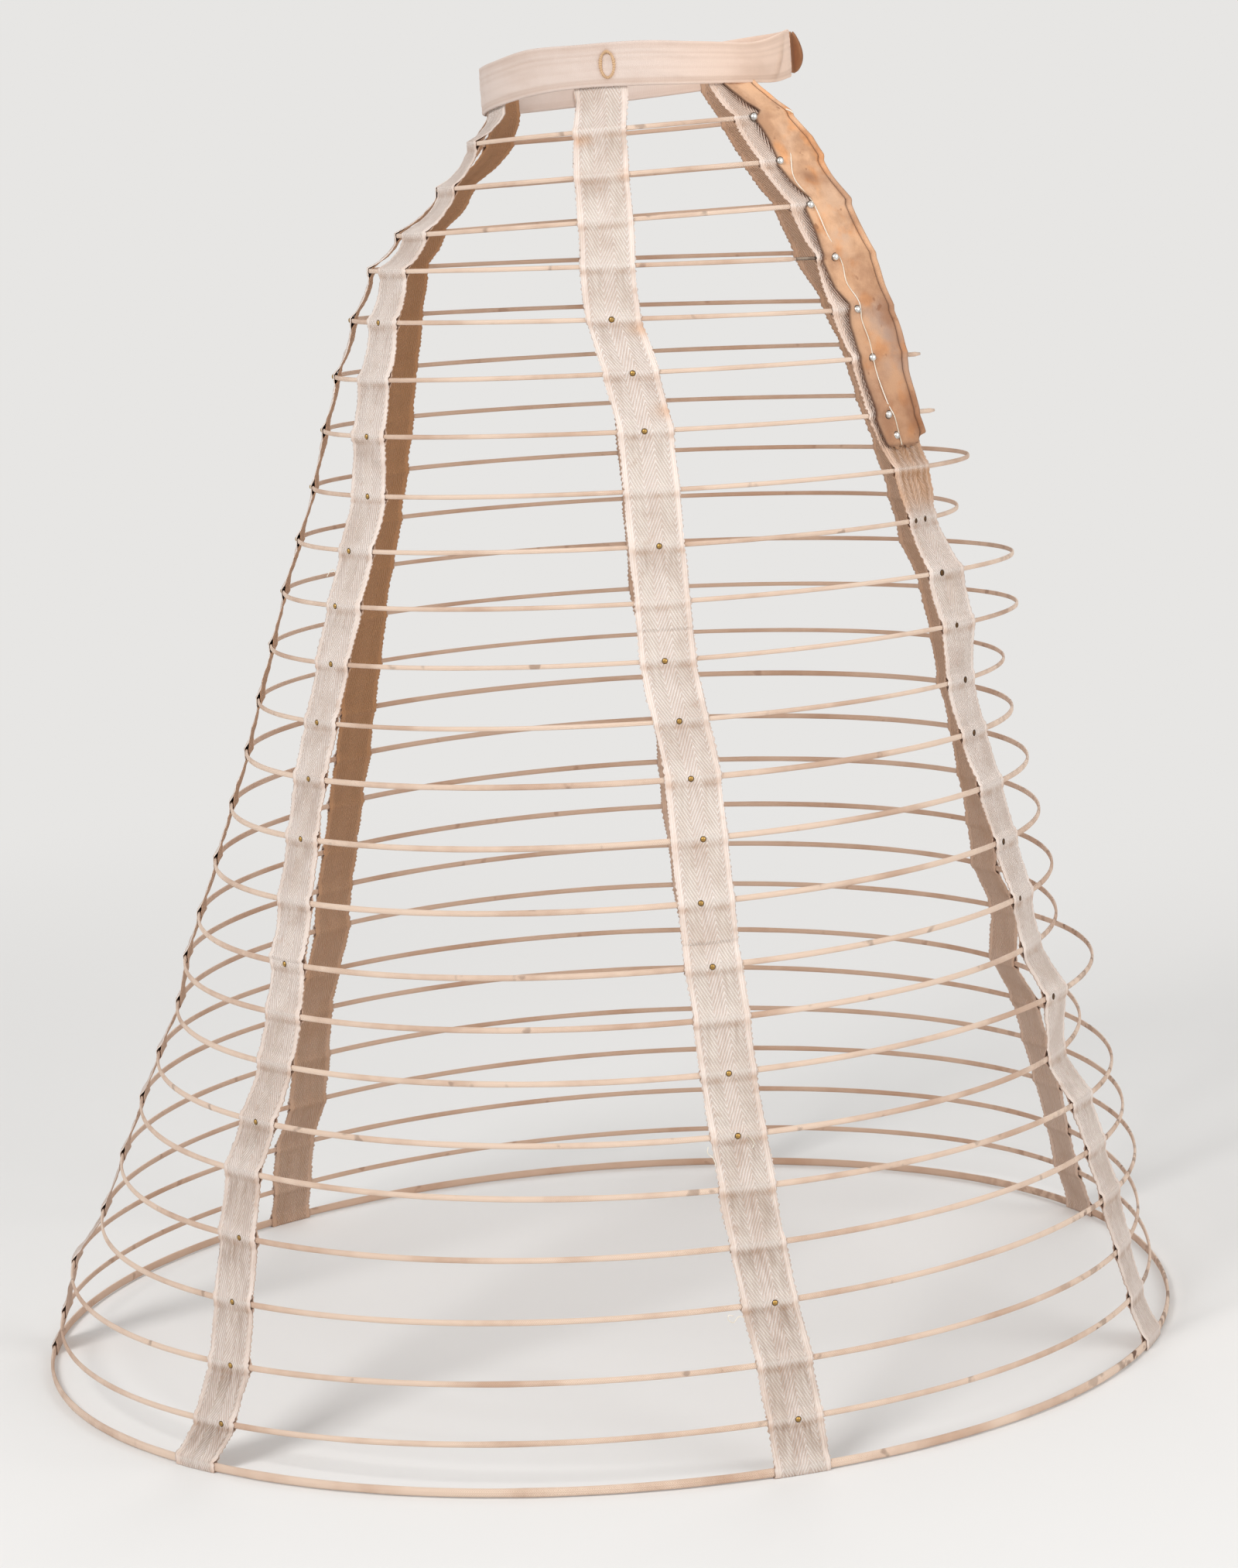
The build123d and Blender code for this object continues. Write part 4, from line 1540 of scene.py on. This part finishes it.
    def _stitches(self, wardrobe: Wardrobe) -> Piece:
        """The worked edge of the buttonhole: an oval roll of thread, ridged by its stitches.

        Args:
            wardrobe: dresses it.

        Returns:
            The stitches.
        """
        stitches, roll_radius, rows, sides = 34, 1.2 * MM, 240, 10
        ring = self.cage.band()
        bearing = np.array(self.hole())
        lift = (self._edge(self.top, bearing) + self._edge(self.bottom, bearing)) / 2
        middle = ring.at(bearing) + UP * lift
        out = ring.outward(bearing)
        side = np.cross(UP, out)
        turn = np.linspace(0, TURN, rows, endpoint=False)
        roll = np.linspace(0, TURN, sides, endpoint=False)
        wide = np.cos(turn)[:, None] * side * (self.hole_wide / 2)
        tall = np.sin(turn)[:, None] * UP * (self.hole_tall / 2)
        radial = unit(wide + tall)
        size = roll_radius * (1 + 0.16 * np.cos(stitches * turn) + 0.1 * np.sin(5 * turn))
        ridge = radial[:, None] * np.cos(roll)[:, None] + out * (1.3 * np.sin(roll)[:, None])
        points = middle + (wide + tall)[:, None] + ridge * size[:, None, None]
        flat = pattern(np.linspace(0, 30 * MM, rows + 1)[:, None], np.linspace(0, 6 * MM, sides + 1))
        builder = MeshBuilder()
        builder.tube(points, flat, closed=True)
        return wardrobe.make(builder, "buttonhole_stitches", Finishes.WORKED)

    def _turned_end(self, wardrobe: Wardrobe) -> Piece:
        """The brown inner end: a leaf that starts at the split, turns towards the near side and curls out.

        Its width is 15 mm times (0.3 + 0.7 sin(pi h) to the power 0.8), with h to the power 0.75 so
        that it is widest low down. Its heading turns from 74 to 24 degrees off the opening's direction.

        Args:
            wardrobe: dresses it.

        Returns:
            The turned end.
        """
        count, thick = 12, 1.3 * MM
        low, high = (np.array(corner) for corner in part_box("waistband_end"))
        rows = np.linspace(0, 1, 30)
        share = np.linspace(0, 1, count)
        width = self.leaf_wide * (0.3 + 0.7 * np.sin(np.pi * rows**0.75) ** 0.8)
        heading = np.radians(-74 + 50 * share**2)
        steps = np.stack([np.cos(heading), np.sin(heading), np.zeros(count)], axis=-1)
        path = np.cumsum(steps, axis=0) / count
        root = np.array([low[0] + 0.2 * MM, high[1] - 1 * MM, 0])
        height = low[2] + (high[2] - low[2]) * rows
        points = root + path[None] * width[:, None, None] + UP * height[:, None, None]
        points[..., 2] += 0.8 * MM * np.sin(share * 7)[None] * rows[:, None]
        flat = pattern(share * self.leaf_wide, (rows * self.leaf_tall)[:, None])
        edge = np.broadcast_to(np.abs(share - 0.5) * 2 > 0.85, flat.shape[:2]).astype(float)
        builder = MeshBuilder()
        sheet_shell(builder, points, flat, thick, {"crease": edge})
        piece = wardrobe.make(builder, "waistband_turned_end", Finishes.LINING, "waistband_end")
        return piece


@dataclass
class Placket:
    """The leather strip over the opening tape, its studs and its slack thread.

    The edges are (height, left, right) rows, the studs and the thread (height, across) pairs, and the
    smudges (height, tall, across, wide, strength) rows, all in millimetres. The lines of painted shade
    by the right edge are (distance from the right edge, width, strength) rows.
    """

    guide: TapeGuide
    thick: float = 1.2 * MM
    lift: float = 2.9 * MM
    bottom: float = 633 * MM
    top: float = 877 * MM
    edges: Rows = (
        (632, -17, 18), (642, -17, 24), (660, -15, 25), (684, -15, 25), (700, -14, 28), (720, -11, 32),
        (734, -7, 32), (744, -13, 31.5), (762, -15, 31), (782, -10, 30), (792, -9, 30), (798, -2, 30.5),
        (808, -6, 31), (822, -6, 33), (838, -3, 35), (854, -3, 29), (858, 2, 28), (864, -4, 25),
        (877, -9, 20))
    stud: Stud = Stud(2.6 * MM, 2.3 * MM, 0.5 * MM)
    studs: Pairs = ((656, -3), (694, -3), (730, 0), (765, -3), (794, -4), (824, -3), (854, -4), (641, -3))
    thread: Pairs = ((829, 8), (812, -1), (795, -2), (778, -1.5), (762, 1), (748, -1), (735, 3), (722, 0.5),
                     (706, -1), (684, -3.5), (664, -2), (655, 1), (645, 0), (634, -3))

    smudges: Rows = ((812, 6, 12, 8, 1.0), (655, 14, 20, 7, 0.8), (720, 30, 24, 7, 0.4))
    shade_lines: Rows = ((4.5, 0.8, 0.95), (0, 0.9, 0.8))
    slow: Wave = Wave((0.041, 0.023, 0.067), 0.7 * MM, aside=0.5)
    quick: Wave = Wave((0.017, 0.026), 0.35 * MM, along=0.2, aside=1.0)

    def _outline(self, height: np.ndarray) -> tuple[np.ndarray, np.ndarray]:
        """Left and right edges at heights in metres."""
        heights, left, right = (np.array(values) * MM for values in zip(*self.edges))
        return np.interp(height, heights, left), np.interp(height, heights, right)

    def _offset(self, height: np.ndarray, across: np.ndarray) -> np.ndarray:
        """How far the leather's middle stands outside the tape's middle surface.

        It is the lift plus crumples, less a dimple at each stud, plus a curl of the free left edge
        between the studs, a fold across the tail and a roll inside a groove along the right edge. It
        dives under the waistband in the last 11 mm.

        Args:
            height: metres up.
            across: metres from the tape's middle.

        Returns:
            Metres outwards.
        """
        crumple = self.slow.at(90, height, across) + self.quick.at(91, height, across)
        dimple = np.zeros_like(height)
        for stud_height, stud_across in self.studs:
            apart = np.hypot(height - stud_height * MM, across - stud_across * MM)
            dimple += bell(apart, 6 * MM)
        left, right = self._outline(height)
        curl = 1.5 * MM * bell(across - left, 3 * MM) * (1 - np.clip(dimple, 0, 1))
        fold = 1.1 * MM * bell(height - 663 * MM - 0.5 * across, 1.7 * MM) * bell(across + 4 * MM, 10 * MM)
        roll = 1.5 * MM * fade(np.abs(across - right + 1.8 * MM) / (2.4 * MM))
        groove = -0.7 * MM * bell(across - right + 4.6 * MM, 1.0 * MM)
        dive = 1.8 * MM * (1 - fade((height - 866 * MM) / (9 * MM)))
        return self.lift + crumple - 0.8 * MM * dimple + curl + fold + roll + groove - dive

    def _grid(self) -> tuple[np.ndarray, np.ndarray]:
        """The strip's grid, with a scalloped bottom that lifts to the right corner.

        Returns:
            Heights and places across, in metres.
        """
        free, rolled = np.linspace(0, 0.12, 8), np.linspace(0.87, 1, 14)
        share = np.concatenate([free, np.linspace(0.14, 0.86, 26), rolled])
        foot = self.bottom + 11 * MM * np.clip((share - 0.75) / 0.25, 0, 1) ** 1.5
        foot = foot + 1.3 * MM * np.sin(share * 19) * (1 - share) + 0.8 * MM * np.sin(share * 43)
        along = np.linspace(0, 1, 190)[:, None]
        height = foot + (self.top - foot) * along
        left, right = self._outline(height)
        return height, left + (right - left) * share

    def make(self, wardrobe: Wardrobe) -> list[Piece]:
        """Builds the strip, the studs and the thread."""
        return [self._strip(wardrobe), self._make_studs(wardrobe), self._make_thread(wardrobe)]

    def _strip(self, wardrobe: Wardrobe) -> Piece:
        """The leather strip, with painted shade along its edges, foot and groove, and smudged.

        Args:
            wardrobe: dresses it.

        Returns:
            The strip.
        """
        height, across = self._grid()
        points, out = self.guide.at(self.guide.level_of(height), across)
        middle = points + out * self._offset(height, across)[..., None]
        left, right = self._outline(height)
        # painted shade along the free left edge, the foot, the groove and the right edge
        edge_shade = 0.95 * bell(across - left, 1.3 * MM) + 0.6 * bell(height - self.bottom - 1 * MM, 1.4 * MM)
        for inset, wide, strength in self.shade_lines:
            edge_shade += strength * bell(across - right + inset * MM, wide * MM)
        smudge = 0.65 * fade((height - self.bottom + 1 * MM) / (200 * MM))
        for up, tall, side, wide, strength in self.smudges:
            smudge += strength * bell(height - up * MM, tall * MM) * bell(across - side * MM, wide * MM)
        grey = 0.25 + 0.75 * bell(height - 715 * MM, 60 * MM) * bell(across - 16 * MM, 11 * MM)
        builder = MeshBuilder()
        marks = {"crease": np.clip(edge_shade, 0, 1), "smudge": np.clip(smudge, 0, 1), "grey": grey}
        sheet_shell(builder, middle, pattern(across, height), self.thick, marks)
        piece = wardrobe.make(builder, "leather_placket", Finishes.LEATHER, "placket")
        return piece

    def _seat(self, height: float, across: float, above: float) -> tuple[np.ndarray, np.ndarray]:
        """A point over the leather's face.

        Args:
            height: millimetres up.
            across: millimetres from the tape's middle.
            above: metres over the face.

        Returns:
            The point and the outward direction.
        """
        heights, places = np.array([height * MM]), np.array([across * MM])
        point, out = self.guide.at(self.guide.level_of(heights), places)
        lift = self._offset(heights, places) + self.thick / 2 + above
        return point[0] + out[0] * lift[0], out[0]

    def _make_studs(self, wardrobe: Wardrobe) -> Piece:
        """The white-metal studs.

        Args:
            wardrobe: dresses them.

        Returns:
            The studs as one piece.
        """
        builder = MeshBuilder()
        for height, across in self.studs:
            seat, out = self._seat(height, across, -0.2 * MM)
            self.stud.add(builder, seat, out)
        return wardrobe.make(builder, "white_metal_studs", Finishes.WHITE_METAL, "placket_studs")

    def _make_thread(self, wardrobe: Wardrobe) -> Piece:
        """The slack thread that lies on the leather, and a stitch near its top corner.

        Args:
            wardrobe: dresses them.

        Returns:
            The threads as one piece.
        """
        points = np.array([self._seat(height, across, 0.35 * MM)[0] for height, across in self.thread])
        builder = MeshBuilder()
        strand(builder, smooth_path(points, 140), 0.4 * MM)
        stitch = np.array([self._seat(856 + step, 26 - step, 0.5 * MM)[0] for step in (-1.5, 0, 1.5)])
        strand(builder, smooth_path(stitch, 9), 0.6 * MM)
        return wardrobe.make(builder, "slack_thread", Finishes.THREAD)


@dataclass
class TapeStuds:
    """The small brass studs that hold each tape to its hoops, and the low domes of painted shade that stand
    for empty holes in the opening tape.

    The places are (hoop, millimetres across) pairs.
    """

    guides: dict[str, TapeGuide]
    brass: Stud = Stud(1.7 * MM, 1.2 * MM)
    hole_shade: Stud = Stud(1.9 * MM, 0.5 * MM)
    sink: float = 0.2 * MM
    shift_seed: int = 11
    bare_hoops: tuple[int, ...] = (5, 8)
    side_near: Pairs = ((1, 2), (3, 3), (6, -1), (7, 0), (9, -1), (10, -4), (11, 2), (12, -2), (13, -1),
                        (14, -2), (16, 1), (18, -1), (19, 1), (20, -1))
    back_near: Pairs = ((1, 8), (2, 3), (3, 1), (4, 4), (6, 0), (9, -1), (11, 1), (12, 1), (13, -2), (14, 1),
                        (15, -7), (16, -6), (17, 1), (18, 1), (20, -2))
    holes: Pairs = ((16, -11), (16, 1), (15, -6), (14, -4), (13, 3), (12, -2), (10, -8), (9, -8), (7, -8))

    def _add(self, builder: MeshBuilder, name: str, places: Pairs, stud: Stud) -> None:
        """Adds studs to one tape.

        Args:
            builder: takes them.
            name: the tape's.
            places: where they sit.
            stud: their kind.
        """
        guide = self.guides[name]
        for number, across in places:
            level = np.array([2.0 * number + 0.5])
            point, out = guide.at(level, np.array([across * MM]))
            stud.add(builder, point[0] + out[0] * (guide.apart(level)[0] + self.sink), out[0])

    def make(self, wardrobe: Wardrobe) -> list[Piece]:
        """Builds the brass studs and the domes of painted hole shade. On the unseen tapes the brass studs'
        places are random.

        Args:
            wardrobe: dresses them.

        Returns:
            The studs as one piece and the domes of painted hole shade as another.
        """
        builder = MeshBuilder()
        self._add(builder, "side_near", self.side_near, self.brass)
        self._add(builder, "back_near", self.back_near, self.brass)
        scatter = np.random.default_rng(self.shift_seed).integers(-3, 4, (3, 21))
        for name, shifts in zip(("side_far", "back", "back_far"), scatter):
            hoops = (number for number in range(1, 21) if number not in self.bare_hoops)
            self._add(builder, name, tuple((number, float(shifts[number])) for number in hoops), self.brass)
        studs = wardrobe.make(builder, "brass_studs", Finishes.BRASS)
        hole_shades = MeshBuilder()
        self._add(hole_shades, "opening_near", self.holes, self.hole_shade)
        return [studs, wardrobe.make(hole_shades, "painted_hole_shades", Finishes.HOLE_SHADE)]


@dataclass
class LooseThreads:
    """Ends of thread that have worked out of the tapes: (tape, height, start across, wander)."""

    guides: dict[str, TapeGuide]
    ends: tuple[tuple[str, float, float, tuple[tuple[float, float], ...]], ...] = (
        ("side_near", 100, -18, ((-4, 1), (-8, -2), (-11, 0), (-10, 3), (-7, 2))),
        ("side_near", 196, -18, ((-1, 5), (-4, 9), (-3, 13))),
        ("back_near", 566, -18, ((-3, 2), (-6, 1), (-8, -3))),
        ("side_near", 214, 4, ((3, -2), (5, -6), (3, -9))),
        ("opening_far", 690, 12, ((3, 1), (6, 3), (7, 0))),
    )

    def make(self, wardrobe: Wardrobe) -> Piece:
        """Builds the thread ends.

        Args:
            wardrobe: dresses them.

        Returns:
            The threads as one piece.
        """
        builder = MeshBuilder()
        for name, height, across, wander in self.ends:
            guide = self.guides[name]
            steps = np.array([(0, 0), *wander]) * MM
            level = guide.level_of(height * MM + steps[:, 1])
            points, out = guide.at(level, across * MM + steps[:, 0])
            lifted = guide.apart(level) + np.linspace(0.3, 1.2, len(steps)) * MM
            strand(builder, smooth_path(points + out * lifted[:, None], 28), 0.3 * MM)
        return wardrobe.make(builder, "loose_threads", Finishes.THREAD)


@dataclass(frozen=True)
class Lamp:
    """A large soft lamp: its place, the side of its square in metres and its power in watts."""

    name: str
    place: tuple[float, float, float]
    size: float
    power: float

    def make(self, target: tuple[float, float, float]) -> None:
        """Hangs the lamp.

        Args:
            target: the point that it faces.
        """
        data = bpy.data.lights.new(self.name, "AREA")
        data.size = self.size
        data.energy = self.power
        lamp = put_in_scene(self.name, data)
        lamp.location = self.place
        lamp.rotation_mode = "QUATERNION"
        lamp.rotation_quaternion = (Vector(target) - Vector(self.place)).to_track_quat("-Z", "Y")


@dataclass(frozen=True)
class Studio:
    """The pale floor, the soft lights and the camera, with angles in degrees and the lens in millimetres."""

    backdrop: Colour = (0.80, 0.79, 0.775)
    floor: Colour = (0.78, 0.77, 0.755)
    floor_reach: float = 20.0
    floor_fade: tuple[float, float] = (0.9, 2.6)
    ambient: float = 0.5
    target: tuple[float, float, float] = (0.05, 0, 0.45)
    lamps: tuple[Lamp, ...] = (Lamp("key", (-1.7, -2.5, 2.7), 1.3, 84),
                               Lamp("fill", (2.6, -2.0, 1.5), 2.6, 52),
                               Lamp("back", (0.8, 2.9, 2.3), 2.6, 34))
    camera_place: tuple[float, float, float] = (0.034, -2.67, 0.812)
    tilt: float = 81.05
    roll: float = -3.95
    lens: float = 85.95

    def make(self) -> None:
        """Sets up the whole studio."""
        bpy.context.scene.view_settings.view_transform = "Standard"
        self._camera()
        self._world()
        self._floor()
        for lamp in self.lamps:
            lamp.make(self.target)

    def _camera(self) -> None:
        """The camera at the photograph's angle."""
        data = bpy.data.cameras.new("camera")
        data.lens = self.lens
        data.sensor_width = 36.0
        camera = put_in_scene("camera", data)
        camera.location = self.camera_place
        camera.rotation_mode = "QUATERNION"
        tilt = Quaternion((1, 0, 0), math.radians(self.tilt))
        camera.rotation_quaternion = tilt @ Quaternion((0, 0, 1), math.radians(self.roll))
        bpy.context.scene.camera = camera

    @staticmethod
    def _seen(nodes: Nodes) -> Socket:
        """1 for what the camera sees straight, in a gloss or through glass.

        Args:
            nodes: the tree that asks.

        Returns:
            1 or 0.
        """
        path = nodes.add("ShaderNodeLightPath")
        seen = nodes.math("MAXIMUM", path.outputs["Is Camera Ray"], path.outputs["Is Glossy Ray"])
        return nodes.math("MAXIMUM", seen, path.outputs["Is Transmission Ray"])

    def _world(self) -> None:
        """Soft light all round, with a pale backdrop behind."""
        world = bpy.data.worlds.new("studio")
        bpy.context.scene.world = world
        world.use_nodes = True
        nodes = Nodes(world.node_tree)
        soft = nodes.add("ShaderNodeBackground", {"Color": (1, 1, 1, 1), "Strength": self.ambient})
        behind = nodes.add("ShaderNodeBackground", {"Color": (*self.backdrop, 1), "Strength": 1.0})
        shaders = {0: self._seen(nodes), 1: soft.outputs[0], 2: behind.outputs[0]}
        mixed = nodes.add("ShaderNodeMixShader", shaders)
        nodes.add("ShaderNodeOutputWorld", {"Surface": mixed.outputs[0]})

    def _floor(self) -> None:
        """A floor that takes the shadow near the object and fades into the backdrop further off."""
        reach = self.floor_reach
        mesh = bpy.data.meshes.new("floor")
        mesh.from_pydata([(-reach, -reach, 0), (reach, -reach, 0), (reach, reach, 0), (-reach, reach, 0)], [],
                         [(0, 1, 2, 3)])
        put_in_scene("floor", mesh)
        material = bpy.data.materials.new("pale floor")
        material.use_nodes = True
        nodes = Nodes(material.node_tree)
        apart = nodes.add("ShaderNodeVectorMath", {0: nodes.place()}, operation="LENGTH")
        far = nodes.between(apart.outputs["Value"], *self.floor_fade)
        plain = nodes.add("ShaderNodeBsdfDiffuse", {"Color": (*self.floor, 1)})
        glow = nodes.add("ShaderNodeEmission", {"Color": (*self.backdrop, 1), "Strength": 1.0})
        share = nodes.times(far, self._seen(nodes))
        mixed = nodes.add("ShaderNodeMixShader", {0: share, 1: plain.outputs[0], 2: glow.outputs[0]})
        nodes.add("ShaderNodeOutputMaterial", {"Surface": mixed.outputs[0]})
        mesh.materials.append(material)


def main() -> None:
    """Builds every piece in order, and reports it."""
    logging.basicConfig(level=logging.INFO, format="%(message)s")
    Studio().make()
    cage, wardrobe = Cage(), Wardrobe()
    guides = {name: TapeGuide(cage, name, TAPE_SLACK.get(name, PLAIN_SLACK)) for name in TAPE_BEARINGS}
    for number in range(HOOPS):
        CoveredHoop(number, cage).make(wardrobe)
    CoveredHoop(BARE_HOOP, cage).make_bare_steel(wardrobe)
    Waistband(cage).make(wardrobe)
    for place, (name, guide) in enumerate(guides.items()):
        seed = FIRST_TAPE_SEED + TAPE_SEED_STEP * place
        WovenTape(guide, seed, **TAPE_WEAR.get(name, {})).make(wardrobe)
    Placket(guides["opening_near"]).make(wardrobe)
    TapeStuds(guides).make(wardrobe)
    LooseThreads(guides).make(wardrobe)


if __name__ == "__main__":
    main()
